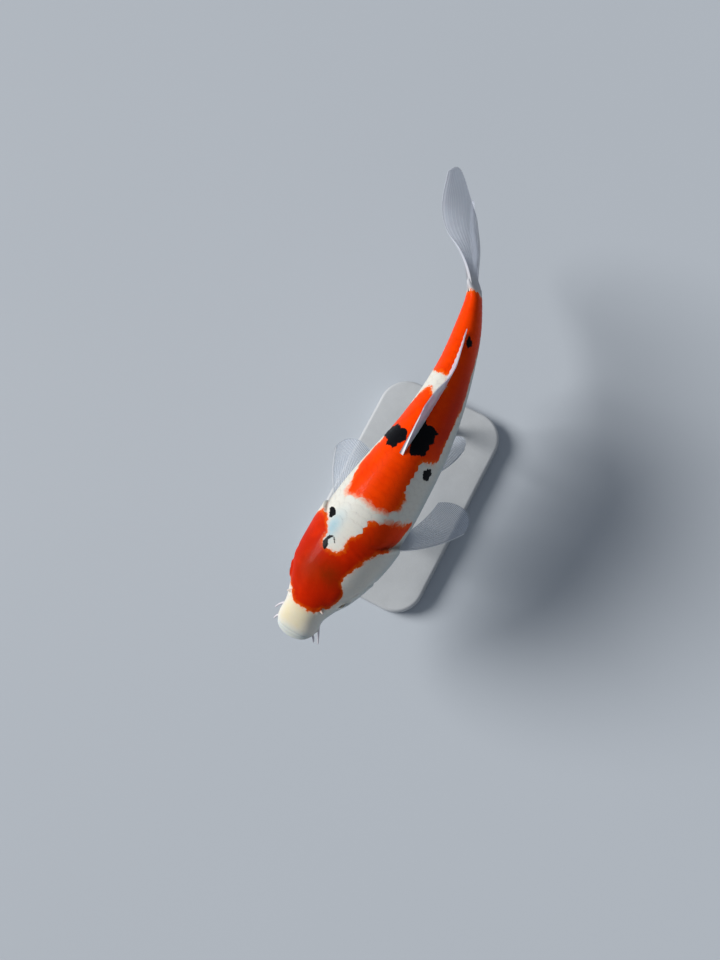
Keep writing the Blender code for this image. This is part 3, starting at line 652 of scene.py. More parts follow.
def markings(station, turn, edge_station, edge_turn):
    """Values that the skin's material reads, with the places that decide where patches end."""
    x, y = flat_place(station, turn)
    crown = np.zeros(np.shape(x))
    for mid_station, mid_turn, radius, share in DARK_CROWN:
        cx, cy = flat_place(np.array(mid_station), np.array(mid_turn))
        crown = np.maximum(crown, share * bump(np.hypot(x - cx, (y - cy) * 0.8), radius * 1000.0))
    nape_station, nape_turn, nape_radius = COOL_NAPE
    nx, ny = flat_place(np.array(nape_station), np.array(nape_turn))
    nape = bump(np.hypot((x - nx) * 0.50, y - ny), nape_radius)
    # painted shade: the lower flanks and the belly are darkened half way to the cool blue-grey
    flank = 0.50 * rise(np.abs(turn), 58.0, 45.0) * rise(station, 0.03, 0.05)
    lips = fall(station, 0.012, 0.022)
    snout = fall(station, 0.066, 0.030)
    # painted shade: behind the middle of the body the fish's left flank, turned away from the key
    # light, is deepened towards the head's deep red
    shaded = 0.8 * rise(turn, 10.0, 35.0) * rise(station, 0.50, 0.10)
    shaded *= fall(station, 0.66, 0.24)
    # painted shade: the hollows of the skin, such as the mouth cleft, nostrils, eye sockets and the
    # drop behind the gill covers, darken by how deep they sink
    depth = -relief(station, turn, plain_body(station, turn))
    return {
        "red_edge": largest_distance(edge_station, edge_turn, RED_PATCHES),
        "ink_edge": largest_distance(edge_station, edge_turn, INK_PATCHES),
        "head_red_and_flank_shade": np.maximum(fall(station, 0.23, 0.16), shaded),
        "crown": crown,
        "cool_tint_and_flank_shade": np.maximum(np.maximum(nape, 0.35 * lips), flank),
        "tail": rise(station, 0.968, 0.02),
        "tail_ray": tail_rays(turn) * rise(station, 0.985, 0.02),
        "cream": snout * (1.0 - 0.85 * lips) * fall(np.abs(turn + 8.0), 18.0, 50.0),
        "soft": bump(station - 0.362, 0.026) * fall(np.abs(turn), 40.0, 30.0),
        "hollow": rise(depth, 0.00025, 0.0012),
    }


# ---------------------------------------------------------------------------
# Making meshes
# ---------------------------------------------------------------------------
def grid_faces(rows, columns, closed=False):
    """Faces over a grid of rows and columns of points, outwards if columns run round."""
    i = np.arange(rows - 1)[:, None]
    j = np.arange(columns if closed else columns - 1)[None, :]
    k = (j + 1) % columns
    corners = (i * columns + j, i * columns + k, (i + 1) * columns + k, (i + 1) * columns + j)
    return np.stack([np.broadcast_to(c, (rows - 1, j.shape[1])).ravel() for c in corners], 1)


def make_piece(name, points, faces, values=None, uv=None):
    """A smooth-shaded object from points and faces, with float values per point."""
    mesh = bpy.data.meshes.new(name)
    mesh.from_pydata(points.tolist(), [], faces if isinstance(faces, list) else faces.tolist())
    for key, data in (values or {}).items():
        attribute = mesh.attributes.new(key, "FLOAT", "POINT")
        attribute.data.foreach_set("value", np.ascontiguousarray(data, dtype=np.float32).ravel())
    if uv is not None:
        layer = mesh.uv_layers.new(name="OFBake")
        corner = np.zeros(len(mesh.loops), dtype=np.int32)
        mesh.loops.foreach_get("vertex_index", corner)
        layer.data.foreach_set("uv", uv[corner].astype(np.float32).ravel())
    mesh.shade_smooth()
    obj = bpy.data.objects.new(name, mesh)
    bpy.context.scene.collection.objects.link(obj)
    return obj


def settle(obj, nodes, material):
    """Give a piece its material, its place on the body and the nodes it stands for."""
    obj.data.materials.append(material)
    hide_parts(*nodes)
    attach(obj, "root")


def skin_stations():
    """Stations of the skin's rings, close on the head and at the nose."""
    head = HEAD_END * (np.arange(1, HEAD_RINGS + 1) / HEAD_RINGS) ** 1.35
    steps = np.arange(1, TRUNK_RINGS + 1) / TRUNK_RINGS
    trunk = HEAD_END + (BODY_END - HEAD_END) * steps
    end = BODY_END + TAIL_ROUNDING * np.sin(np.radians((20.0, 40.0, 60.0, 75.0, 86.0)))
    return np.concatenate((head, trunk, end))


def along_gill_edge(station, turn):
    """Slide stations so that rings run along the head's rear edge."""
    height = plain_body(station, turn)[..., 2] / LENGTH
    before = rise(station, SLIDE_START, GILL_REAR - SLIDE_START)
    behind = fall(station, GILL_REAR, 0.36)
    share = np.where(station < GILL_REAR, before, behind)
    return station + share * (gill_edge(height) - GILL_REAR)


def make_skin():
    """The whole skin of the body in one piece."""
    turn = np.arange(SKIN_SIDES) * 360.0 / SKIN_SIDES
    turn = np.where(turn > 180.0, turn - 360.0, turn)
    station, turn = np.meshgrid(skin_stations(), turn, indexing="ij")
    station = along_gill_edge(station, turn)
    rings = skin_surface(station, turn)
    rows, columns = station.shape
    nose = rings[0].mean(axis=0) - (0.0, 0.00012, 0.0)
    end = rings[-1].mean(axis=0) + (0.0, 0.00004, 0.0)
    rest = np.vstack((rings.reshape(-1, 3), nose, end))
    station = np.append(station.ravel(), (0.0, BODY_END + TAIL_ROUNDING))
    turn = np.append(turn.ravel(), (0.0, 0.0))
    faces = grid_faces(rows, columns, closed=True).tolist()
    last, tips = (rows - 1) * columns, rows * columns
    for k in range(columns):
        following = (k + 1) % columns
        faces.append([following, k, tips])
        faces.append([last + k, last + following, tips + 1])
    values = markings(station, turn, station, turn)
    values["rim"] = np.zeros(len(rest))
    values["own"] = np.full(len(rest), 0.5)
    return make_piece("koi_skin", pose(rest), faces, values)


# ---------------------------------------------------------------------------
# Scales
# ---------------------------------------------------------------------------
ARC_STATIONS = np.linspace(0.18, 1.0, 165)
ARC_TURNS = np.linspace(0.0, 180.0, 181)


def arc_table():
    """Distance round the body from the ridge of the back, by station and turn."""
    station, turn = np.meshgrid(ARC_STATIONS, ARC_TURNS, indexing="ij")
    points = plain_body(station, turn)
    steps = np.hypot(np.diff(points[..., 0], axis=1), np.diff(points[..., 2], axis=1))
    return np.hstack((np.zeros((len(ARC_STATIONS), 1)), np.cumsum(steps, axis=1)))


ARCS = arc_table()


def arc_at(station, turn):
    """Distance round the body at one station and turn."""
    column = np.array([np.interp(station, ARC_STATIONS, ARCS[:, int(t)]) for t in ARC_TURNS])
    return float(np.interp(turn, ARC_TURNS, column))


def turn_at(station, arc):
    """Turn at which a distance round the body is reached, for arrays."""
    place = (station - ARC_STATIONS[0]) / (ARC_STATIONS[1] - ARC_STATIONS[0])
    i = np.clip(place.astype(int), 0, len(ARC_STATIONS) - 2)
    part = np.clip(place - i, 0.0, 1.0)
    out = np.empty(arc.size)
    flat_arc, flat_i, flat_part = np.abs(arc).ravel(), i.ravel(), part.ravel()
    for n in range(len(out)):
        table = ARCS[flat_i[n]] * (1.0 - flat_part[n]) + ARCS[flat_i[n] + 1] * flat_part[n]
        whole = table[-1]
        inside = min(flat_arc[n], 2.0 * whole - flat_arc[n])
        found = np.interp(inside, table, ARC_TURNS)
        out[n] = found if flat_arc[n] <= whole else 360.0 - found
    return np.sign(arc) * out.reshape(arc.shape)


def row_height(station):
    """Distance between rows of scales; they close up towards the tail."""
    whole = np.interp(station, ARC_STATIONS, ARCS[:, -1])
    deepest = np.interp(DEEPEST_STATION, ARC_STATIONS, ARCS[:, -1])
    return SCALE_ROW_HEIGHT * (whole / deepest) ** ROW_CLOSING


def scale_places():
    """Station, arc from the ridge, row number and row height of each scale of one side."""
    places = []
    count = int((SCALE_LAST - SCALE_FIRST) / SCALE_PITCH) + 2
    for row in SCALE_ROWS:
        for k in range(count):
            station = SCALE_FIRST + (k + 0.5 * (row % 2)) * SCALE_PITCH
            if station > SCALE_LAST - SCALE_TAPER * abs(row):
                continue
            tall = float(row_height(station))
            whole = float(np.interp(station, ARC_STATIONS, ARCS[:, -1]))
            arc = arc_at(station, SIDE_TURN) - row * tall
            if arc < RIDGE_MARGIN * tall or arc > whole - RIDGE_MARGIN * tall:
                continue
            turn = float(turn_at(np.array([station]), np.array([arc]))[0])
            height = float(plain_body(np.array(station), np.array(turn))[2]) / LENGTH
            if station < float(gill_edge(np.array(height))) - COVER_OVERLAP:
                continue
            places.append((station, arc, row, tall))
    return places


ALONG_CELLS = 7
ACROSS_CELLS = 8


def plate_shape():
    """A scale's points: along in lengths, across from -1 to 1, and run from front to rear."""
    a, b = np.meshgrid(np.linspace(0, 1, ALONG_CELLS + 1) ** 0.85,
                       np.linspace(-1, 1, ACROSS_CELLS + 1), indexing="ij")
    across = np.sin(b * math.pi / 2.0 * 0.96) / math.sin(math.pi / 2.0 * 0.96)
    rear = 0.55 * np.sqrt(1.0 - 0.93 * across ** 2)
    front = -0.45 * (1.0 - 0.3 * across ** 2)
    return front + (rear - front) * a, across, a


def plate_faces():
    """Faces of one scale, its top and a skirt down from its rim, and the points of the rim."""
    rows, columns = ALONG_CELLS + 1, ACROSS_CELLS + 1
    top = grid_faces(rows, columns)
    rim = list(range(columns))
    rim += [i * columns + columns - 1 for i in range(1, rows)]
    rim += [(rows - 1) * columns + j for j in range(columns - 2, -1, -1)]
    rim += [i * columns for i in range(rows - 2, 0, -1)]
    base = rows * columns
    count = len(rim)
    skirt = [(base + (k + 1) % count, base + k, base + count + k, base + count + (k + 1) % count)
             for k in range(count)]
    return np.vstack((top, np.array(skirt))), rim


def under_cover(station, turn):
    """1 where a scale's point lies under the gill cover, 0 behind the cover's rear edge."""
    height = plain_body(station, turn)[..., 2] / LENGTH
    return 1.0 - ease((station - gill_edge(height) - 0.002) / 0.006)


def scale_tops(centres, sizes, along, across):
    """Station and turn of every point of the scales' tops, one scale per row."""
    station = centres[:, :1] + sizes[:, :1] * along
    arc = centres[:, 1:] + sizes[:, 1:] * across
    # rows close up towards the tail, so a scale's points keep their share of the way round
    whole = np.interp(station, ARC_STATIONS, ARCS[:, -1])
    middle = np.interp(station, ARC_STATIONS, ARCS[:, SIDE_TURN])
    whole_here = np.interp(centres[:, :1], ARC_STATIONS, ARCS[:, -1])
    middle_here = np.interp(centres[:, :1], ARC_STATIONS, ARCS[:, SIDE_TURN])
    arc = middle + (arc - middle_here) * (whole / whole_here) ** ROW_CLOSING
    return station, turn_at(station, arc)


def scale_lift(along, across, wobble, on_line, share):
    """Lift of the scales' points over the skin; those on the lateral line carry a tube."""
    lift = SCALE_LOW + (SCALE_HIGH - SCALE_LOW) * share * (along + 0.45)
    lift = lift * (1.0 + 0.12 * wobble) + SCALE_DOME * (1.0 - across ** 2)
    tube = bump(across, 0.13) * rise(along, -0.10, 0.1)
    return lift + LINE_TUBE * on_line * tube * fall(along, 0.40, 0.1)


def with_skirt(top, rim):
    """Values on a scale's top, and twice more along its rim for the skirt's two edges."""
    return np.concatenate((top, top[..., rim], top[..., rim]), axis=-1)


def scale_patches(station, turn, along, across):
    """Each scale's own small patch of the UV map, laid out by its place on the fish."""
    u = 0.03 + 0.94 * (station - 0.2) / 0.8 + PATCH_LENGTH * along
    v = 0.5 + 0.47 * turn / 180.0 + PATCH_HALF_WIDTH * across
    return np.stack((u, v), axis=-1).reshape(-1, 2)


def make_scales(name, places, side, seed, share):
    """One joined mesh of scales for one side of the fish."""
    along, across, run = (part.ravel() for part in plate_shape())
    faces, rim = plate_faces()
    wobble = np.random.default_rng(seed).uniform(-1.0, 1.0, (len(places), 4))
    centres, row, tall = np.split(np.array(places), (2, 3), axis=1)
    sizes = np.hstack((SCALE_LENGTH / LENGTH * (1.0 + SCALE_SPREAD * wobble[:, :1]),
                       tall * SCALE_HALF_HEIGHT * (1.0 + SCALE_SPREAD * wobble[:, 1:2])))
    station, turn = scale_tops(centres, sizes, along, across)
    lift = scale_lift(along, across, wobble[:, 2:3], row == 0, share)
    lift = lift - SCALE_SINK * under_cover(station, turn)
    station, turn, lift = (with_skirt(top, rim) for top in (station, turn, lift))
    lift[:, -len(rim):] -= SCALE_SKIRT
    signed = side * turn
    rest = skin_surface(station.ravel(), signed.ravel(), lift.ravel())
    mid_station = centres[:, :1] + 0.25 * SCALE_LENGTH / LENGTH
    mid_turn = side * turn_at(centres[:, 0], centres[:, 1])[:, None]
    edge_station = station * (1 - SCALE_BLEND) + mid_station * SCALE_BLEND
    edge_turn = signed * (1 - SCALE_BLEND) + mid_turn * SCALE_BLEND
    values = markings(station.ravel(), signed.ravel(), edge_station.ravel(), edge_turn.ravel())
    per_scale = station.shape[1]
    values["rim"] = np.tile(with_skirt(run, rim), len(places))
    values["own"] = np.repeat(0.5 + 0.5 * wobble[:, 3], per_scale)
    uv = scale_patches(centres[:, :1], mid_turn, with_skirt(along, rim),
                       side * with_skirt(across, rim))
    offsets = (np.arange(len(places)) * per_scale)[:, None, None]
    all_faces = (faces[None] + offsets).reshape(-1, 4)
    if side < 0:
        all_faces = all_faces[:, ::-1]
    return make_piece(name, pose(rest), all_faces, values, uv)


# ---------------------------------------------------------------------------
# Fins of the straight fish: each surface gives metres for arrays u and v
# ---------------------------------------------------------------------------
def dorsal_surface(u, v):
    """Back fin, partly lowered, its rear half folded over to the fish's left."""
    station = DORSAL_BASE[0] + (DORSAL_BASE[1] - DORSAL_BASE[0]) * u
    extra = DORSAL_FRONT_HEIGHT - DORSAL_REAR_HEIGHT
    corner = 1.0 - 0.30 * np.maximum(0.0, 1.0 - u / 0.06)
    corner = corner * (1.0 - 0.35 * rise(u, 0.80, 0.20))
    length = (DORSAL_REAR_HEIGHT + extra * (1.0 - u) ** 2.4) * corner + FIN_ROOT_SINK
    sweep = np.radians(DORSAL_SWEEP[0] + (DORSAL_SWEEP[1] - DORSAL_SWEEP[0]) * u + 8.0 * v)
    fold = rise(u, 0.25, 0.40)
    lean = np.radians(DORSAL_LEAN[0] + (DORSAL_LEAN[1] - DORSAL_LEAN[0]) * fold)
    root = back_height(station) - FIN_ROOT_SINK
    up = length * v * np.cos(sweep)
    back = station + length * v * np.sin(sweep)
    return LENGTH * np.stack((up * np.sin(lean), back, root + up * np.cos(lean)), axis=-1)


def anal_surface(u, v):
    """Anal fin under the tail, swept back."""
    station = ANAL_BASE[0] + (ANAL_BASE[1] - ANAL_BASE[0]) * u
    extra = ANAL_FRONT_HEIGHT - ANAL_REAR_HEIGHT
    corner = 1.0 - 0.15 * np.maximum(0.0, 1.0 - u / 0.15)
    length = (ANAL_REAR_HEIGHT + extra * (1.0 - u) ** 1.3) * corner + FIN_ROOT_SINK
    sweep = np.radians(ANAL_SWEEP[0] + (ANAL_SWEEP[1] - ANAL_SWEEP[0]) * u)
    root = belly_height(station) + FIN_ROOT_SINK
    down = length * v * np.cos(sweep)
    back = station + length * v * np.sin(sweep)
    return LENGTH * np.stack((0.0 * u, back, root - down), axis=-1)


def paired_surface(root, length, yaw, fan, pitch, base, side):
    """A fan-shaped paired fin; yaw is measured from straight back towards the outside."""
    def surface(u, v):
        angle = np.radians(yaw - fan * u + FIN_RAY_CURL * (0.5 - v))
        rounding = 0.90 + 0.15 * np.sin(math.pi * u ** 0.8) - 0.15 * u * u
        reach = length * rounding * v
        droop = math.radians(pitch) * (0.6 + 0.6 * v) - math.radians(9.0) * u * v
        out = reach * np.sin(angle) * np.cos(droop)
        back = reach * np.cos(angle) * np.cos(droop)
        x = side * (root[0] - FIN_ROOT_SINK * 0.8 + out - 0.006 * u)
        z = root[2] + reach * np.sin(droop) - 0.006 * u
        return LENGTH * np.stack((x, root[1] + base * u + back, z), axis=-1)
    return surface


def caudal_surface(side, lean):
    """One lobe of the tail fin: u runs from the fork out to the leading ray."""
    def surface(u, v):
        spread = CAUDAL_HALF_SPREAD * u ** 0.88
        shoulder = np.sin(0.5 * math.pi * np.minimum(u / CAUDAL_SHOULDER, 1.0)) ** 1.6
        rounding = np.maximum((u - CAUDAL_SHOULDER) / (1.0 - CAUDAL_SHOULDER), 0.0) ** 2
        end = CAUDAL_FORK + (CAUDAL_TIP - CAUDAL_FORK) * shoulder - CAUDAL_ROUNDING * rounding
        root = CAUDAL_ROOT_HALF * u
        station = CAUDAL_ROOT + (end - CAUDAL_ROOT) * v
        opened = (1.0 - CAUDAL_FLARE) * v ** 0.85 + CAUDAL_FLARE * ease(v / 0.9)
        height = root + (spread - root) * opened
        tilt = lobe_tilt(lean, station, height)
        x, z = -height * np.sin(tilt), side * height * np.cos(tilt)
        return LENGTH * np.stack((x, station, z), axis=-1)
    return surface


def ray_pattern(u, v, rays, spine):
    """1 on a ray and 0 between rays, which branch towards the edge, and the first ray alone."""
    single = 0.5 + 0.5 * np.cos(2.0 * math.pi * rays * u)
    double = 0.5 + 0.5 * np.cos(4.0 * math.pi * rays * u)
    shift = rise(v, 0.45, 0.35)
    pattern = (single * (1.0 - shift) + double * shift) ** 1.8
    first = 1.0 - ease((u - spine * 0.6) / (spine * 0.4 + 1e-6))
    return np.maximum(pattern, first), first


def fin_normals(surface, u, v):
    """Unit normals of a fin's surface."""
    step = 1e-3
    over_u = surface(np.minimum(u + step, 1.0), v) - surface(np.maximum(u - step, 0.0), v)
    over_v = surface(u, np.minimum(v + step, 1.0)) - surface(u, np.maximum(v - step, 0.0))
    normal = np.cross(over_u, over_v)
    return normal / np.maximum(np.linalg.norm(normal, axis=-1, keepdims=True), 1e-12)


def fin_half(u, v, pattern, first, relief_share, lobe):
    """Half the fin's thickness: the rays stand out, and a lobe of the tail has a stout root."""
    half = 0.5 * (FIN_ROOT_THICKNESS * (1.0 - v) ** 1.5 + FIN_EDGE_THICKNESS)
    half = half + (LOBE_STOUTNESS * (1.0 - v) ** 8 * (1.0 - u ** 1.5) if lobe else 0.0)
    half = half * (1.0 - relief_share * (1.0 - pattern) * rise(v, 0.04, 0.2))
    return half * (1.0 + 0.25 * first)


def fin_faces(columns, rows):
    """Faces of a fin's two sides and of the band that joins them round the rim."""
    count = columns * rows
    front = grid_faces(columns, rows)
    rim = [i * rows for i in range(columns)]
    rim += [(columns - 1) * rows + j for j in range(1, rows)]
    rim += [i * rows + rows - 1 for i in range(columns - 2, -1, -1)]
    rim += list(range(rows - 2, 0, -1))
    rim = np.array(rim)
    following = np.roll(rim, -1)
    band = np.stack((rim, following, following + count, rim + count), 1)
    return np.vstack((front[:, ::-1], front + count, band))


def make_fin(surface, rays, settings, spine, along=44, lobe=False):
    """A two-sided fin with raised rays, thin membrane and a softly scalloped edge."""
    columns, rows = rays * RAY_CELLS + 1, along + 1
    u, v = np.meshgrid(np.linspace(0, 1, columns), np.linspace(0, 1, rows), indexing="ij")
    pattern, first = ray_pattern(1.0 - u if lobe else u, v, rays, spine)
    reach = v * (1.0 - TIP_SCALLOP * (1.0 - pattern) * rise(v, 0.75, 0.25))
    normal = fin_normals(surface, u, reach)
    wave = FIN_RIPPLE * v * v * np.sin(u * 9.0 + v * 3.0) * (1.0 - first)
    middle = surface(u, reach) + normal * wave[..., None]
    relief_share = settings.ray_relief * (LOBE_RELIEF if lobe else 1.0)
    half = fin_half(u, v, pattern, first, relief_share, lobe)
    sides = [(middle + normal * (s * half)[..., None]).reshape(-1, 3) for s in (1.0, -1.0)]
    leading = fall(u, 0.02, 0.30) if lobe else first
    values = {"ray": pattern, "span": v, "spine": leading}
    values = {key: np.tile(data.ravel(), 2) for key, data in values.items()}
    return pose(np.vstack(sides)), fin_faces(columns, rows), values


def join_parts(name, parts):
    """One object from several (points, faces, values)."""
    points, faces, values, count = [], [], {}, 0
    for p, f, w in parts:
        points.append(p)
        faces.append(f + count)
        count += len(p)
        for key, data in w.items():
            values.setdefault(key, []).append(data)
    values = {key: np.concatenate(data) for key, data in values.items()}
    return make_piece(name, np.vstack(points), np.vstack(faces), values)


# ---------------------------------------------------------------------------
# Eyes, feelers and turned parts
# ---------------------------------------------------------------------------
def make_eye(name, side):
    """An eyeball with a clear bulge over the pupil, turned outwards and a little forwards."""
    rings, sides = 40, 48
    angle = np.linspace(0.02, math.pi, rings)
    around = np.arange(sides) * 2.0 * math.pi / sides
    angle, around = np.meshgrid(angle, around, indexing="ij")
    radius = EYEBALL_RADIUS * (1.0 + 0.035 * np.exp(-(angle / 0.55) ** 2))
    gaze = Vector((side * 0.985, -0.12, 0.04)).normalized()
    across = gaze.cross(Vector((0.0, 0.0, 1.0))).normalized()
    upwards = across.cross(gaze)
    axes = np.array([gaze, across, upwards])
    local = np.stack((np.cos(angle), np.sin(angle) * np.cos(around),
                      np.sin(angle) * np.sin(around)), axis=-1)
    centre = np.array((side * (EYE_OUT - EYEBALL_SINK), EYE_STATION, EYE_HEIGHT)) * LENGTH
    points = (centre + (local * radius[..., None]) @ axes).reshape(-1, 3)
    faces = grid_faces(rings, sides, closed=True).tolist()
    faces.append(list(range(sides - 1, -1, -1)))
    values = {"gaze": angle.ravel(), "lid": (0.5 + 0.5 * local[..., 2]).ravel()}
    return make_piece("koi_eye_" + name, pose(points), [f[::-1] for f in faces], values)


def feeler(route, side, rings=40, sides=14):
    """A tapering feeler along a smooth route, with faint rings in its skin."""
    knots = np.array([(side * x, y, z) for x, y, z in route]) * LENGTH
    t = np.linspace(0, 1, rings)
    spans = np.linspace(0, 1, len(knots))
    centre = np.stack([smooth_curve(list(zip(spans, knots[:, k])))(t) for k in range(3)], -1)
    tangent = np.gradient(centre, axis=0)
    tangent /= np.linalg.norm(tangent, axis=1, keepdims=True)
    first = np.cross(tangent, (0.0, 0.0, 1.0))
    first /= np.linalg.norm(first, axis=1, keepdims=True)
    second = np.cross(tangent, first)
    radius = BARBEL_RADIUS * (1.55 - 1.00 * t ** 0.9) * np.sqrt(np.clip((1.0 - t) / 0.04, 0.0, 1.0))
    radius = np.maximum(radius, 0.00004) * (1.0 + 0.04 * np.sin(t * 70.0))
    turn = np.arange(sides) * 2.0 * math.pi / sides
    c, s = np.cos(turn)[:, None], np.sin(turn)[:, None]
    ring = c * first[:, None] + s * second[:, None]
    points = (centre[:, None] + ring * radius[:, None, None]).reshape(-1, 3)
    faces = grid_faces(rings, sides, closed=True)
    return pose(points), faces, {"span": np.repeat(t, sides)}


def turned(profile, sides=48):
    """Points and faces of a turned part about the vertical axis from (radius, height)."""
    profile = np.array(profile)
    turn = np.arange(sides) * 2.0 * math.pi / sides
    x = profile[:, :1] * np.cos(turn)[None]
    y = profile[:, :1] * np.sin(turn)[None]
    z = np.broadcast_to(profile[:, 1:], x.shape)
    points = np.stack((x, y, z), -1).reshape(-1, 3)
    return points, grid_faces(len(profile), sides, closed=True)


def rounded_plan(half_x, half_y, corner, steps=14):
    """Corner points of a rectangle with rounded corners, anticlockwise."""
    points = []
    for cx, cy, first in ((1, 1, 0), (-1, 1, 90), (-1, -1, 180), (1, -1, 270)):
        for k in range(steps + 1):
            angle = math.radians(first + 90.0 * k / steps)
            points.append((cx * (half_x - corner) + corner * math.cos(angle),
                           cy * (half_y - corner) + corner * math.sin(angle)))
    return np.array(points)


def make_base():
    """The stand's base: a flat block with rounded corners and soft edges."""
    profile = [(0.0012, 0.0), (0.0003, 0.0004), (0.0, 0.0012)]
    for angle in np.radians((0, 12, 25, 38, 52, 66, 78, 90)):
        drop = BASE_EDGE * (1.0 - math.sin(angle))
        profile.append((BASE_EDGE * (1.0 - math.cos(angle)), STAND_THICKNESS - drop))
    loops = []
    for inwards, height in profile:
        plan = rounded_plan(STAND_WIDTH / 2 - inwards, STAND_LENGTH / 2 - inwards,
                            STAND_CORNER - inwards)
        loops.append(np.column_stack((plan, np.full(len(plan), height))))
    points = np.vstack(loops)
    count = len(loops[0])
    faces = grid_faces(len(loops), count, closed=True).tolist()
    faces.append(list(range(count - 1, -1, -1)))
    faces.append(list(range((len(loops) - 1) * count, len(loops) * count)))
    return make_piece("koi_stand_base", points, faces)


def make_rod(name, station):
    """A rod with a collar at the base and a small cup against the belly."""
    foot = pose(np.array([(0.0, station * LENGTH, float(belly_height(station)) * LENGTH)]))[0]
    radius = ROD_DIAMETER / 2.0
    floor = STAND_THICKNESS - ROD_SOCKET
    collar = STAND_THICKNESS + COLLAR_HEIGHT
    top = foot[2] + CUP_OVERLAP
    cup = top - CUP_HEIGHT
    profile = [(0.0, floor), (radius + 0.0022, floor), (radius + 0.0022, collar - 0.0006),
               (radius + 0.0021, collar - 0.0002), (radius + 0.0017, collar),
               (radius + 0.0002, collar), (radius, collar + 0.0002),
               (radius, cup - 0.0030), (radius, cup)]
    profile += [(radius + 0.0005 + 0.0012 * t, cup + CUP_HEIGHT * t) for t in (0.1, 0.4, 0.7, 0.9)]
    profile += [(radius + 0.0012, top), (0.0, top)]
    points, faces = turned(profile)
    return make_piece("koi_stand_rod_" + name, points + (foot[0], foot[1], 0.0), faces)


# ---------------------------------------------------------------------------
# Shader node helpers and shared groups
# ---------------------------------------------------------------------------
class Nodes:
    """Short names for adding nodes to one tree and linking them."""

    def __init__(self, tree):
        self.tree = tree

    def add(self, kind, inputs=None, **settings):
        """Add a node, set its properties, and fill or link its inputs."""
        node = self.tree.nodes.new(kind)
        for key, value in settings.items():
            setattr(node, key, value)
        for key, value in (inputs or {}).items():
            if isinstance(value, bpy.types.NodeSocket):
                self.tree.links.new(value, node.inputs[key])
            else:
                node.inputs[key].default_value = value
        return node

    def maths(self, operation, a, b=0.0):
        """A Math node's output."""
        return self.add("ShaderNodeMath", {0: a, 1: b}, operation=operation).outputs[0]

    def step(self, value, low, high, out_low=0.0, out_high=1.0):
        """Smooth step of a value between two bounds."""
        inputs = {"Value": value, "From Min": low, "From Max": high,
                  "To Min": out_low, "To Max": out_high}
        node = self.add("ShaderNodeMapRange", inputs, interpolation_type="SMOOTHSTEP")
        return node.outputs["Result"]

    def mix(self, share, a, b, blend="MIX"):
        """Mix two colours."""
        inputs = {0: share, 6: a, 7: b}
        return self.add("ShaderNodeMix", inputs, data_type="RGBA", blend_type=blend).outputs[2]

    def noise(self, scale, detail=3.0, roughness=0.5, vector=None):
        """A noise texture's value over the piece's own coordinates."""
        if vector is None:
            vector = self.add("ShaderNodeTexCoord").outputs["Object"]
        inputs = {"Vector": vector, "Scale": scale, "Detail": detail, "Roughness": roughness}
        return self.add("ShaderNodeTexNoise", inputs).outputs["Fac"]

    def value(self, name):
        """A float stored with the mesh."""
        return self.add("ShaderNodeAttribute", attribute_name=name).outputs["Fac"]


def new_group(name, inputs, outputs):
    """An empty shader node group; inputs are (name, kind, default)."""
    group = bpy.data.node_groups.new(name, "ShaderNodeTree")
    for label, kind, default in inputs:
        socket = group.interface.new_socket(name=label, in_out="INPUT", socket_type=kind)
        socket.default_value = default
    for label, kind in outputs:
        group.interface.new_socket(name=label, in_out="OUTPUT", socket_type=kind)
    nodes = Nodes(group)
    return group, nodes, group.nodes.new("NodeGroupInput"), group.nodes.new("NodeGroupOutput")


def rgba(colour):
    """A colour with full opacity."""
    return (*colour, 1.0)


# inputs of the pigments and the values stored with the mesh that feed them
STORED_VALUES = {
    "Red Edge": "red_edge", "Ink Edge": "ink_edge", "Head Red And Flank Shade": "head_red_and_flank_shade", "Crown": "crown",
    "Cool Tint And Flank Shade": "cool_tint_and_flank_shade", "Cream": "cream", "Soft": "soft", "Hollow Shade": "hollow", "Rim": "rim",
    "Own": "own", "Tail": "tail", "Tail Ray": "tail_ray",
}
# colours that the pigments shade into, linear
WARM_WHITE = (0.78, 0.72, 0.60, 1.0)
GREY_WHITE = (0.46, 0.47, 0.48, 1.0)
TAIL_ROOT = (0.46, 0.46, 0.49, 1.0)
TAIL_ROOT_RAY = (0.66, 0.67, 0.71, 1.0)
PINK_BORDER = (0.82, 0.42, 0.28, 1.0)
DENSE_RED = (0.70, 0.024, 0.0, 1.0)
FINE_RED = (0.62, 0.018, 0.0, 1.0)
BRIGHT_RED = (0.90, 0.10, 0.0, 1.0)
THIN_RED = (0.86, 0.17, 0.004, 1.0)
CROWN_BROWN = (0.13, 0.018, 0.001, 1.0)
# painted sheen: a lighter blue-grey mixed into the black ink in patches
PAINTED_INK_SHEEN = (0.012, 0.013, 0.016, 1.0)
SCALE_RIM = (0.42, 0.30, 0.26, 1.0)
# painted shade in the hollows of the skin
HOLLOW_SHADE = (0.36, 0.29, 0.27, 1.0)
NO_SHADE = (1.0, 1.0, 1.0, 1.0)


def wandering(n, scale, detail, roughness, width):
    """Noise about 0 in millimetres, to roughen the edge of a patch."""
    return n.maths("MULTIPLY", n.maths("SUBTRACT", n.noise(scale, detail, roughness), 0.5), width)


def patch_masks(n, i):
    """Distance inside the red after roughening, and the masks of red and ink."""
    wander = wandering(n, 420.0, 3.0, 0.6, 3.8)
    fine = wandering(n, 1500.0, 2.0, 0.5, 1.7)
    broad = wandering(n, 120.0, 2.0, 0.5, 5.0)
    broad = n.maths("ADD", broad, n.maths("SUBTRACT", i["Own"], 0.5))
    red_at = n.maths("ADD", n.maths("ADD", i["Red Edge"], wander), n.maths("ADD", fine, broad))
    width = n.maths("ADD", n.maths("MULTIPLY", i["Soft"], 2.3), 0.55)
    red_mask = n.step(red_at, n.maths("MULTIPLY", width, -1.0), width)
    rough = n.maths("ADD", wander, n.maths("MULTIPLY", fine, 2.0))
    ink_at = n.maths("ADD", i["Ink Edge"], n.maths("MULTIPLY", rough, 0.42))
    return red_at, red_mask, n.step(ink_at, -0.15, 0.35)


